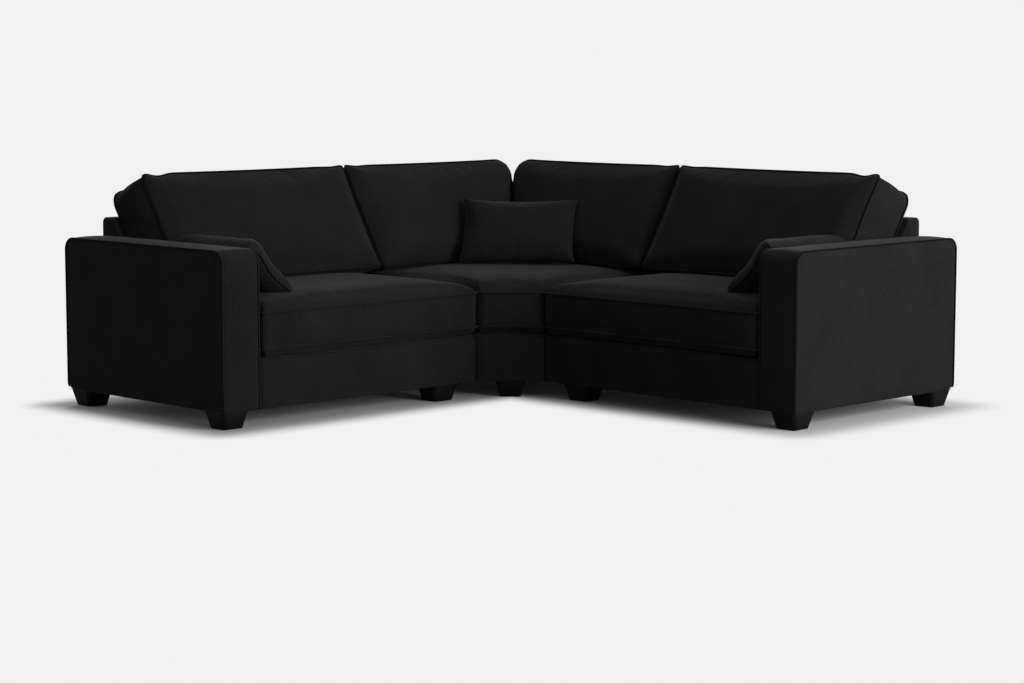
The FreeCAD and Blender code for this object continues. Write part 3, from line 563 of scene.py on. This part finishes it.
seat = {"lowSeam": 276, "highSeam": 406, "crown": 55.5, "overhang": 14, "cornerOverhang": 6, "round": 9,
        "sag": 3, "rows": 12, "counts": (86, 58), "cornerCounts": (90, 62), "armGap": 2,
        "border": (5, 4, 2, 1), "cornerBorder": (4, 2, 2, 2), "fill": 0.85, "cap": 5, "cordOut": 0.95,
        "highest": 462,
        "cornerOutline": [(-932, 50), (-230, 50), (-50, 230), (-50, 932), (-932, 932)]}


def seatForm(corners, ends, counts, border):
    # a tucked bottom that is flat on the deck, an upright border, and a crowned top
    edges = fourEdges(corners, [seat["round"]] * len(corners), ends, counts, [seat["sag"]] * 4)
    panel = stretched(edges, counts)
    tuck = seat["lowSeam"] - sofa["deck"]
    under = seat["lowSeam"] - tuck * np.minimum(1, 1.04 * swell(counts, 36))
    over = seat["highSeam"] + seat["crown"] * swell(counts, 4)
    low = np.concatenate([panel, under[..., None]], -1)
    high = np.concatenate([panel, over[..., None]], -1)
    return closedForm(low, high, seat["rows"], border)


def seamCords(loops, radius, out=0.6):
    # piping along closed seams: rings of (u, v, z) points, each with the direction square to its panel
    cords = []
    for loop, up in loops:
        closed = np.vstack([loop, loop[:1]])
        run = np.r_[0, np.cumsum(np.linalg.norm(np.diff(closed, axis=0), axis=1))]
        at = np.linspace(0, run[-1], int(run[-1] / piping["step"]), endpoint=False)
        path = pointsAt(at, run, closed)
        ahead = np.roll(path, -1, 0) - np.roll(path, 1, 0)
        outward = np.cross(ahead, up)
        outward /= np.linalg.norm(outward, axis=1, keepdims=True)
        cords.append(tubeAlong(path + outward * (radius * out), True, radius, up))
    return joined(cords)


proud = piping["out"]
nearArm, atJoint = sofa["arm"] + seat["armGap"] + proud, sofa["wing"] - sofa["joint"] - proud
front, rear = proud - seat["overhang"], sofa["seatRear"] - sofa["joint"] - proud
box = [(nearArm, front), (atJoint, front), (atJoint, rear), (nearArm, rear)]
wingSeat = seatForm(box, (0, 1, 2, 3), seat["counts"], seat["border"])


def movedIn(corners, amounts):
    # each side of an outline moved in by its own amount
    corners = np.asarray(corners, float)
    along = np.roll(corners, -1, 0) - corners
    along /= np.linalg.norm(along, axis=1, keepdims=True)
    foot = corners + np.stack([-along[:, 1], along[:, 0]], -1) * np.asarray(amounts, float)[:, None]
    back, backAlong = np.roll(foot, 1, 0), np.roll(along, 1, 0)
    cross = backAlong[:, 0] * along[:, 1] - backAlong[:, 1] * along[:, 0]
    gap = foot - back
    reach = (gap[:, 0] * along[:, 1] - gap[:, 1] * along[:, 0]) / cross
    return back + backAlong * reach[:, None]


beside = sofa["joint"] + proud
inner = movedIn(seat["cornerOutline"], [beside, proud - seat["cornerOverhang"], beside, beside, beside])
cornerSeat = seatForm(inner, (1, 2, 3, 0), seat["cornerCounts"], seat["cornerBorder"])


# Back cushions: q runs up the lean, n out of the front panel

# In the two looks, front and rear are the rounds of each panel, from the foot of its first end on; dips
# and ends are for the first and the last end; bulge is for the foot, the last end, the top, the first end.
back = {"foot": (546, 471), "height": 460, "thick": 155, "crown": 36, "rearSwell": 9, "rearLow": 46,
        "rearHigh": 18, "outerFront": 236, "outerRear": 190, "draw": 8, "footDraw": 3, "rows": 13,
        "counts": (86, 42), "earAt": 0.13, "earReach": 0.09, "fill": 0.75, "cap": 9}
wingBackLook = {"front": [14, 10, 12, 26], "rear": [14, 10, 12, 80], "dips": (12, 3), "ends": (9, 1.5),
                "bulge": (2, 5, 9, 12)}
cornerBackLook = {"front": [10, 10, 62, 10], "rear": [10, 10, 62, 10], "dips": (4, 0), "ends": (1.5, 1.5),
                  "bulge": (2, 9, 9, 5)}


def leaning(points):
    p, q, n = np.moveaxis(points, -1, 0)
    v, z = back["foot"]
    return np.stack([p, v + q * math.sin(lean) - n * math.cos(lean),
                     z + q * math.cos(lean) + n * math.sin(lean)], -1)


def backEdge(first, last, depth):
    # an upper edge, drawn in by depth(1 - x^2)^0.35, and by a dip before each corner that leaves an ear:
    # dip * exp(-((1 - |x| - earAt) / earReach)^2)
    def drawIn(x):
        near = 1 - np.abs(x)
        dip = np.where(x < 0, first, last) * np.exp(-((near - back["earAt"]) / back["earReach"]) ** 2)
        return depth * (1 - x ** 2) ** 0.35 + dip
    return drawIn


def backForm(lowEnd, highEnd, look):
    # two flat outlines, joined by a border; the rear one is higher, and dips only 0.4 as far
    b, counts = back, back["counts"]
    panels = []
    heights = {"rear": (-b["thick"], b["rearLow"], b["height"] + b["rearHigh"]), "front": (0, 0, b["height"])}
    for panel, (n, low, high) in heights.items():
        corners = [(lowEnd(low, n), low), (highEnd(low, n), low), (highEnd(high, n), high),
                   (lowEnd(high, n), high)]
        share = 1.0 if panel == "front" else 0.4
        top = backEdge(look["dips"][1] * share, look["dips"][0] * share, b["draw"])
        sag = (b["footDraw"], look["ends"][1], top, look["ends"][0])
        panels.append(stretched(fourEdges(corners, look[panel], (0, 1, 2, 3), counts, sag), counts))
    rear = np.concatenate([panels[0], (-b["thick"] - b["rearSwell"] * swell(counts, 10))[..., None]], -1)
    crown = b["crown"] * swell(counts, 4)
    front = np.concatenate([panels[1], crown[..., None]], -1)
    return closedForm(rear, front, b["rows"], look["bulge"])


def outerEnd(q, n):
    return back["outerFront"] + (back["outerFront"] - back["outerRear"]) * n / back["thick"]


def jointEnd(q, n):
    return sofa["wing"] - beside


def cornerEnd(q, n):
    return sofa["wing"] + beside


def mitreEnd(q, n):
    v = back["foot"][0] + q * math.sin(lean) - n * math.cos(lean)
    return sofa["mitre"] + v - beside * math.sqrt(2)


wingBack = backForm(outerEnd, jointEnd, wingBackLook)
cornerBack = backForm(cornerEnd, mitreEnd, cornerBackLook)


# Scatter cushions: two crowned faces that meet in one seam, pulled in between sharp corners

scatter = {"round": 6, "counts": (64, 44), "fill": 0.7, "cap": 9, "seam": 1.5}
sideCushion = {"width": 436, "height": 268, "front": 54, "behind": 38, "lean": math.radians(48),
               "top": (200, 631), "middle": 318, "bend": 20, "draw": 9, "power": 6}
centreCushion = {"width": 480, "height": 315, "front": 56, "behind": 56, "lean": math.radians(38),
                 "turn": math.radians(5.3), "draw": 15, "power": 3.2}


def scatterForm(cushion):
    # each edge is drawn in by draw * (1 - x^2)^0.6, and each face swells by its half of the thickness
    counts, width, height = scatter["counts"], cushion["width"], cushion["height"]
    corners = [(-width / 2, 0), (width / 2, 0), (width / 2, height), (-width / 2, height)]
    sag = [lambda x: cushion["draw"] * (1 - x ** 2) ** 0.6] * 4
    panel = stretched(fourEdges(corners, [scatter["round"]] * 4, (0, 1, 2, 3), counts, sag), counts)
    rise = swell(counts, cushion["power"])[..., None]
    low = np.concatenate([panel, -cushion["behind"] * rise], -1)
    high = np.concatenate([panel, cushion["front"] * rise], -1)
    return closedForm(low, high, 0, ())


def sidePlace(points):
    # down the lean from the upper seam; the middle surface bends by bend * sin(2 pi t)(1 - t)^1.3,
    # t being how far down the cushion a point is
    c = sideCushion
    p, q, n = np.moveaxis(points, -1, 0)
    t = np.clip(1 - q / c["height"], 0, 1)
    n = n + c["bend"] * np.sin(2 * np.pi * t) * (1 - t) ** 1.3
    down = c["height"] - q
    u = c["top"][0] + down * math.sin(c["lean"]) + n * math.cos(c["lean"])
    z = c["top"][1] - down * math.cos(c["lean"]) + n * math.sin(c["lean"])
    return np.stack([u, c["middle"] + p, z], -1)


def centrePlace(points):
    p, q, n = np.moveaxis(points, -1, 0)
    diagonal = math.pi / 4 - centreCushion["turn"]
    across = np.array([math.cos(diagonal), math.sin(diagonal), 0])
    towards = np.array([math.sin(diagonal), -math.cos(diagonal), 0])
    up = towards * -math.sin(centreCushion["lean"]) + np.array([0, 0, math.cos(centreCushion["lean"])])
    out = towards * math.cos(centreCushion["lean"]) + np.array([0, 0, math.sin(centreCushion["lean"])])
    return p[..., None] * across + q[..., None] * up + n[..., None] * out


def setOn(points, node, place):
    # moved so that the middle of its box is the middle of its CAD solid's box
    low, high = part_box(node)
    placed = place(points)
    shift = (np.array(low) + np.array(high)) / 2 - (placed.min(0) + placed.max(0)) / 2
    return placed + shift


sideScatter = scatterForm(sideCushion)
centreScatter = scatterForm(centreCushion)


# Cloth: every cushion is blown up a little from its drawn form, held at its seams, and no point moves
# further than its cap

def swollen(forms):
    frames = 20
    pieces = {}
    for name, (form, cap) in forms.items():
        piece = toObject("cloth_" + name, form, asDrawn)
        group = piece.vertex_groups.new(name="seams")
        group.add(np.flatnonzero(form["seams"][:len(form["points"])]).tolist(), 1.0, "REPLACE")
        cloth = piece.modifiers.new("cloth", "CLOTH")
        cloth.settings.quality = 6
        cloth.settings.mass = 0.3
        cloth.settings.tension_stiffness = cloth.settings.compression_stiffness = 12
        cloth.settings.shear_stiffness = 5
        cloth.settings.bending_stiffness = 0.4
        cloth.settings.use_pressure = True
        cloth.settings.uniform_pressure_force = 4
        cloth.settings.shrink_min = -0.008
        cloth.settings.vertex_group_mass = "seams"
        cloth.settings.effector_weights.gravity = 0
        cloth.point_cache.frame_start, cloth.point_cache.frame_end = 1, frames
        pieces[name] = piece
    for number in range(1, frames + 1):
        scene.frame_set(number)
    results = {}
    graph = bpy.context.evaluated_depsgraph_get()
    for name, piece in pieces.items():
        form, cap = forms[name]
        found = piece.evaluated_get(graph).data
        points = np.empty(len(found.vertices) * 3, np.float32)
        found.vertices.foreach_get("co", points)
        move = points.reshape(-1, 3) * 1000 - form["points"]
        length = np.linalg.norm(move, axis=1, keepdims=True)
        print("cloth", name, "moved up to", round(float(length.max()), 1), "mm")
        results[name] = form["points"] + move * np.minimum(1, cap / np.maximum(length, 1e-6))
    for piece in pieces.values():
        bpy.data.objects.remove(piece)
    scene.frame_set(1)
    return results


drawn = {"seat": (wingSeat, seat["cap"]), "cornerSeat": (cornerSeat, seat["cap"]),
         "back": (wingBack, back["cap"]), "cornerBack": (cornerBack, back["cap"]),
         "side": (sideScatter, scatter["cap"]), "centre": (centreScatter, scatter["cap"])}
cloth = swollen(drawn)
print("cushions swollen")


def panelRing(form):
    return ringOf(np.arange(form["panel"]).reshape(form["shape"]))


def seamLoops(form, place, normal):
    # the seams of a boxed form, once round each panel
    loops = []
    for start in (0, form["panel"]):
        loops.append((place(form["points"][panelRing(form) + start]), np.asarray(normal, float)))
    return loops


def asMeasured(points):
    return points


# what lies on the deck stays flat on it
for name in ("seat", "cornerSeat"):
    cloth[name][:, 2] = np.clip(cloth[name][:, 2], sofa["deck"], seat["highest"])
upright = (0, 0, 1)
across = (0, -math.cos(lean), math.sin(lean))
for side, (place, mirrored) in wings.items():
    piece = toObject(f"seat_pad_{side}", {**wingSeat, "points": cloth["seat"]}, place, mirrored)
    finishPad(piece, f"seat_{side}", [f"seat_cushion_{side}"], 1)
    cords = seamCords(seamLoops(wingSeat, asMeasured, upright), piping["radius"], seat["cordOut"])
    piece = toObject(f"seat_welt_{side}", cords, place, mirrored)
    finishCord(piece, f"seat_{side}", [f"seat_piping_{side}"])
    for form, key, tail in ((wingBack, "back", ""), (cornerBack, "cornerBack", "_corner")):
        body = f"back_corner_{side}" if tail else f"back_{side}"
        piece = toObject(f"back_pad{tail}_{side}", {**form, "points": leaning(cloth[key])}, place, mirrored)
        finishPad(piece, body, [f"back_cushion{tail}_{side}"], 1)
        cords = seamCords(seamLoops(form, leaning, across), piping["radius"])
        piece = toObject(f"back_welt{tail}_{side}", cords, place, mirrored)
        finishCord(piece, body, [f"back_piping{tail}_{side}"])
piece = toObject("seat_pad_corner", {**cornerSeat, "points": cloth["cornerSeat"]}, asDrawn)
finishPad(piece, "seat_corner", ["seat_cushion_corner"], 1)
cords = seamCords(seamLoops(cornerSeat, asMeasured, upright), piping["radius"], seat["cordOut"])
piece = toObject("seat_welt_corner", cords, asDrawn)
finishCord(piece, "seat_corner", ["seat_piping_corner"])
sideNormal = np.array([math.cos(sideCushion["lean"]), 0, math.sin(sideCushion["lean"])])
for side, (place, mirrored) in wings.items():
    form = {**sideScatter, "points": sidePlace(cloth["side"])}
    piece = toObject(f"scatter_pad_{side}", form, place, mirrored)
    finishPad(piece, f"scatter_{side}", [f"scatter_cushion_{side}"], 1)
    rim = sideScatter["points"][panelRing(sideScatter)]
    cords = seamCords([(sidePlace(rim), sideNormal)], scatter["seam"])
    piece = toObject(f"scatter_seam_{side}", cords, place, mirrored)
    finishCord(piece, f"scatter_{side}", [])
points = setOn(cloth["centre"], "scatter_cushion_centre", lambda points: centrePlace(points) / 1000)
piece = toObject("scatter_pad_centre", {**centreScatter, "points": points}, asMeasured)
finishPad(piece, "scatter_centre", ["scatter_cushion_centre"], 1)
print("cushions made")


# Feet: a rounded square carried upwards, wider at the top

foot = {"top": 114, "bottom": 82, "height": 63, "ease": 2.5, "inset": 67, "rearIn": 883, "jointIn": 1079,
        "besideJoint": 174}


def footForm(x, y, turned):
    # half widths grow evenly with z, with a small rounded edge at the top and bottom
    f = foot
    ring = denseRing([(-1, -1), (1, -1), (1, 1), (-1, 1)], [0.1] * 4, 0.5)
    ease = f["ease"]
    bend = np.linspace(0, np.pi / 2, 4)
    z = np.r_[ease * (1 - np.cos(bend)), f["height"] - ease * (1 - np.cos(bend[::-1]))]
    draw = np.r_[ease * (1 - np.sin(bend)), ease * (1 - np.sin(bend[::-1]))]
    half = f["bottom"] / 2 + (f["top"] - f["bottom"]) / 2 * z / f["height"] - draw
    flatRing = ring[None] * half[:, None, None]
    c, s = math.cos(turned), math.sin(turned)
    a, b = flatRing[..., 0], flatRing[..., 1]
    px, py = a * c - b * s + x, a * s + b * c + y
    return carried(np.stack([px, py, z[:, None] + 0 * px], -1))


def mouldedFoot():
    # Injection-moulded polypropylene, satin black: an even sheen, with a fine moulded grain. The grain of
    # 0.4 mm is drawn at 1 mm.
    material, tree, shader = startMaterial("satinBlackPolypropylene")
    body = addNode(tree, "TexCoord").outputs["Object"]
    grain = addNode(tree, "TexNoise", {"Scale": 1000.0, "Detail": 2.0}, {"Vector": body})
    scuff = addNode(tree, "TexNoise", {"Scale": 60.0, "Detail": 4.0}, {"Vector": body})
    bump = addNode(tree, "Bump", {"Strength": 0.25, "Distance": 0.0003}, {"Height": grain.outputs["Fac"]})
    colour = addNode(tree, "Mix", {"A": toLinear("#0A0A0B"), "B": toLinear("#121213")},
                     {"Factor": scuff.outputs["Fac"]}, data_type="RGBA")
    rough = addNode(tree, "MapRange", {"To Min": 0.42, "To Max": 0.6}, {"Value": scuff.outputs["Fac"]})
    shader.inputs["Specular IOR Level"].default_value = 0.15
    tree.links.new(colour.outputs["Result"], shader.inputs["Base Color"])
    tree.links.new(rough.outputs["Result"], shader.inputs["Roughness"])
    tree.links.new(bump.outputs["Normal"], shader.inputs["Normal"])
    return material


satinBlack = mouldedFoot()
footPlaces = [(u, v) for u in (foot["inset"], foot["jointIn"]) for v in (foot["inset"], foot["rearIn"])]
for side, (place, mirrored) in wings.items():
    form = joined([footForm(u, v, 0) for u, v in footPlaces])
    piece = toObject(f"foot_set_{side}", form, place, mirrored)
    finishPiece(piece, satinBlack, "root", [f"feet_{side}"])
far, near = sofa["half"] - foot["inset"], foot["besideJoint"]
cut = sofa["cutMiddle"] + foot["inset"] * math.sqrt(0.5)
cornerFeet = [(-far, far, 0), (-far, near, 0), (-near, far, 0), (-cut, cut, math.pi / 4)]
piece = toObject("foot_set_corner", joined([footForm(x, y, turn) for x, y, turn in cornerFeet]), asDrawn)
finishPiece(piece, satinBlack, "root", ["feet_corner"])
print("feet made")


# What shows when the cushions are off or from below keeps its CAD shape and gets its own finish

def platedSteel():
    # Zinc-plated pressed steel: a pale grey metal, whose plating is mottled in spots of 3 mm
    material, tree, shader = startMaterial("zincPlatedSteel")
    body = addNode(tree, "TexCoord").outputs["Object"]
    spangle = addNode(tree, "TexVoronoi", {"Scale": 330.0}, {"Vector": body})
    rough = addNode(tree, "MapRange", {"To Min": 0.28, "To Max": 0.45},
                    {"Value": spangle.outputs["Distance"]})
    shader.inputs["Metallic"].default_value = 1.0
    shader.inputs["Base Color"].default_value = toLinear("#B4B7BA")
    tree.links.new(rough.outputs["Result"], shader.inputs["Roughness"])
    return material


def sawnTimber(name, look):
    # Sawn pine and birch plywood: matt, pale yellow wood. Its growth rings, 6 or 9 mm apart, are drawn out to
    # long streaks: upright in the plywood, level in the pine.
    material, tree, shader = startMaterial(name)
    body = addNode(tree, "TexCoord").outputs["Object"]
    drawn = addNode(tree, "Mapping", {"Scale": look["stretch"]}, {"Vector": body})
    rings = addNode(tree, "TexNoise", {"Scale": 1000 / look["ring"], "Detail": 4.0, "Distortion": 0.4},
                    {"Vector": drawn.outputs["Vector"]})
    colour = addNode(tree, "Mix", {"A": toLinear(look["late"]), "B": toLinear(look["early"])},
                     {"Factor": rings.outputs["Fac"]}, data_type="RGBA")
    bump = addNode(tree, "Bump", {"Strength": 0.3, "Distance": 0.0004}, {"Height": rings.outputs["Fac"]})
    tree.links.new(colour.outputs["Result"], shader.inputs["Base Color"])
    tree.links.new(bump.outputs["Normal"], shader.inputs["Normal"])
    shader.inputs["Roughness"].default_value = 0.62
    return material


def narrowWeave(name, look):
    # Elastic webbing of woven polypropylene, and thin spunbond lining: flat crossing yarns, seen as small
    # squares; the webbing is a little shinier than the lining. Yarns are 3 and 2 mm apart, and about four
    # are drawn as one.
    material, tree, shader = startMaterial(name)
    body = addNode(tree, "TexCoord").outputs["Object"]
    scale, yarns = math.pi * 100 / look["yarns"], []
    for way in ("X", "Y", "Z"):
        yarns.append(addNode(tree, "TexWave", {"Scale": scale}, {"Vector": body}, bands_direction=way))
    pair = addNode(tree, "Math", links={0: yarns[0].outputs["Fac"], 1: yarns[1].outputs["Fac"]},
                   operation="MULTIPLY")
    trio = addNode(tree, "Math", links={0: pair.outputs[0], 1: yarns[2].outputs["Fac"]},
                   operation="MAXIMUM")
    colour = addNode(tree, "Mix", {"A": toLinear(look["dark"]), "B": toLinear(look["pale"])},
                     {"Factor": trio.outputs[0]}, data_type="RGBA")
    bump = addNode(tree, "Bump", {"Strength": 0.4, "Distance": 0.0005}, {"Height": trio.outputs[0]})
    tree.links.new(colour.outputs["Result"], shader.inputs["Base Color"])
    tree.links.new(bump.outputs["Normal"], shader.inputs["Normal"])
    shader.inputs["Roughness"].default_value = look["rough"]
    return material


zincSteel = platedSteel()
plyLook = {"early": "#D8BE92", "late": "#B98F5C", "ring": 9, "stretch": (1, 1, 0.12)}
pineLook = {"early": "#D9B981", "late": "#A8763F", "ring": 6, "stretch": (0.15, 0.15, 1)}
webbingLook = {"dark": "#3A3A36", "pale": "#6A675C", "yarns": 11.847, "rough": 0.7}
liningLook = {"dark": "#101010", "pale": "#1D1D1E", "yarns": 7.898, "rough": 0.92}
birchPly, sawnPine = sawnTimber("birchPlywood", plyLook), sawnTimber("sawnPine", pineLook)
elasticWebbing = narrowWeave("elasticWebbing", webbingLook)
blackLining = narrowWeave("spunbondLining", liningLook)
finishes = {"arm_frame": birchPly, "back_frame": birchPly, "base_frame": sawnPine, "foot_blocks": sawnPine,
            "seat_webbing": elasticWebbing, "back_webbing": elasticWebbing, "deck_cloth": blackLining,
            "dust_cover": blackLining, "foot_studs": zincSteel, "module_hooks": zincSteel}
for name, node in nodes.items():
    for start, material in finishes.items():
        if name.startswith(start):
            node.data.materials.clear()
            node.data.materials.append(material)
print("inner parts finished")


# Room: pale floor, white backdrop, soft lamps

room = {"tone": "#F1F1F1", "paint": "#F0F0F0", "bounce": "#A0A0A0", "floor": 12.0, "near": 0.0, "far": 0.2,
        "fill": 0.22, "rectangles": (((-0.705, 0, 0), (0.475, 1.18, 0)), ((0, 0.705, 0), (1.18, 0.475, 0)))}


def floorMaterial():
    # Matt painted studio floor: it takes shadows near the sofa and turns into the plain backdrop further out
    material, tree, shader = startMaterial("mattStudioPaint")
    body = addNode(tree, "TexCoord").outputs["Object"]
    # how far a point is outside each wing's rectangle: length of max(|p - middle| - half, 0)
    outside = []
    for middle, half in room["rectangles"]:
        moved = addNode(tree, "VectorMath", {1: middle}, {0: body}, operation="SUBTRACT")
        sized = addNode(tree, "VectorMath", links={0: moved.outputs[0]}, operation="ABSOLUTE")
        over = addNode(tree, "VectorMath", {1: half}, {0: sized.outputs[0]}, operation="SUBTRACT")
        kept = addNode(tree, "VectorMath", {1: (0, 0, 0)}, {0: over.outputs[0]}, operation="MAXIMUM")
        outside.append(addNode(tree, "VectorMath", links={0: kept.outputs[0]}, operation="LENGTH"))
    left, right = [node.outputs["Value"] for node in outside]
    nearest = addNode(tree, "Math", links={0: left, 1: right}, operation="MINIMUM")
    far = addNode(tree, "MapRange", {"From Min": room["near"], "From Max": room["far"]},
                  {"Value": nearest.outputs[0]}, interpolation_type="SMOOTHSTEP")
    plain = addNode(tree, "Emission", {"Color": toLinear(room["tone"])})
    # painted pale for the camera, and a middle grey for the light that it throws back
    rays = addNode(tree, "LightPath")
    paint = addNode(tree, "Mix", {"A": toLinear(room["bounce"]), "B": toLinear(room["paint"])},
                    {"Factor": rays.outputs["Is Camera Ray"]}, data_type="RGBA")
    tree.links.new(paint.outputs["Result"], shader.inputs["Base Color"])
    shader.inputs["Roughness"].default_value = 0.9
    shader.inputs["Specular IOR Level"].default_value = 0.1
    seen = addNode(tree, "Math", links={0: rays.outputs["Is Camera Ray"], 1: far.outputs["Result"]},
                   operation="MULTIPLY")
    mixed = addNode(tree, "MixShader",
                    links={0: seen.outputs[0], 1: shader.outputs["BSDF"], 2: plain.outputs["Emission"]})
    output = [n for n in tree.nodes if n.type == "OUTPUT_MATERIAL"][0]
    tree.links.new(mixed.outputs["Shader"], output.inputs["Surface"])
    return material


size = room["floor"]
floorMesh = bpy.data.meshes.new("studioFloor")
square = [(-size, -size, 0), (size, -size, 0), (size, size, 0), (-size, size, 0)]
floorMesh.from_pydata(square, [], [(0, 1, 2, 3)])
floorMesh.materials.append(floorMaterial())
floor = bpy.data.objects.new("studioFloor", floorMesh)
scene.collection.objects.link(floor)

world = bpy.data.worlds.new("studio")
scene.world = world
world.use_nodes = True
tree = world.node_tree
tree.nodes.clear()
rays = addNode(tree, "LightPath")
fillLight = addNode(tree, "Background", {"Color": (1, 1, 1, 1), "Strength": room["fill"]})
backdrop = addNode(tree, "Background", {"Color": toLinear(room["tone"]), "Strength": 1.0})
first = addNode(tree, "Math", links={0: rays.outputs["Is Camera Ray"], 1: rays.outputs["Is Glossy Ray"]},
                operation="MAXIMUM")
second = addNode(tree, "Math", links={0: first.outputs[0], 1: rays.outputs["Is Transmission Ray"]},
                 operation="MAXIMUM")
fill, seen = fillLight.outputs["Background"], backdrop.outputs["Background"]
mixed = addNode(tree, "MixShader", links={0: second.outputs[0], 1: fill, 2: seen})
addNode(tree, "OutputWorld", links={"Surface": mixed.outputs["Shader"]})

lamps = {"overhead": {"at": (-0.8, 1.0, 3.6), "aim": (0, 0, 0.3), "size": 3.2, "power": 6},
         "rightSide": {"at": (5.4, 0.9, 1.6), "aim": (0, 0, 0.4), "size": 2.6, "power": 212},
         "behind": {"at": (-4.6, 4.6, 1.4), "aim": (0, 0, 0.4), "size": 2.6, "power": 190}}
for name, lamp in lamps.items():
    light = bpy.data.lights.new(name, "AREA")
    light.energy, light.size = lamp["power"], lamp["size"]
    holder = bpy.data.objects.new(name, light)
    x, y, z = np.array(lamp["at"]) - np.array(lamp["aim"])
    holder.location = lamp["at"]
    holder.rotation_euler = (math.atan2(math.hypot(x, y), z), 0, math.atan2(x, -y))
    scene.collection.objects.link(holder)

# The picture is 1024 by 683: a long lens 1.3 m above the floor, looking slightly down on the diagonal
view = {"at": (6.4189, -6.3280, 1.29705), "lens": 2420.25 / 1024 * 36, "down": 6.68, "azimuth": 45.37}
camera = bpy.data.cameras.new("camera")
camera.lens, camera.sensor_width, camera.sensor_fit = view["lens"], 36, "HORIZONTAL"
holder = bpy.data.objects.new("camera", camera)
holder.location = view["at"]
holder.rotation_euler = (math.radians(90 - view["down"]), 0, math.radians(view["azimuth"]))
scene.collection.objects.link(holder)
scene.camera = holder
scene.view_settings.view_transform = "Standard"
print("room made")
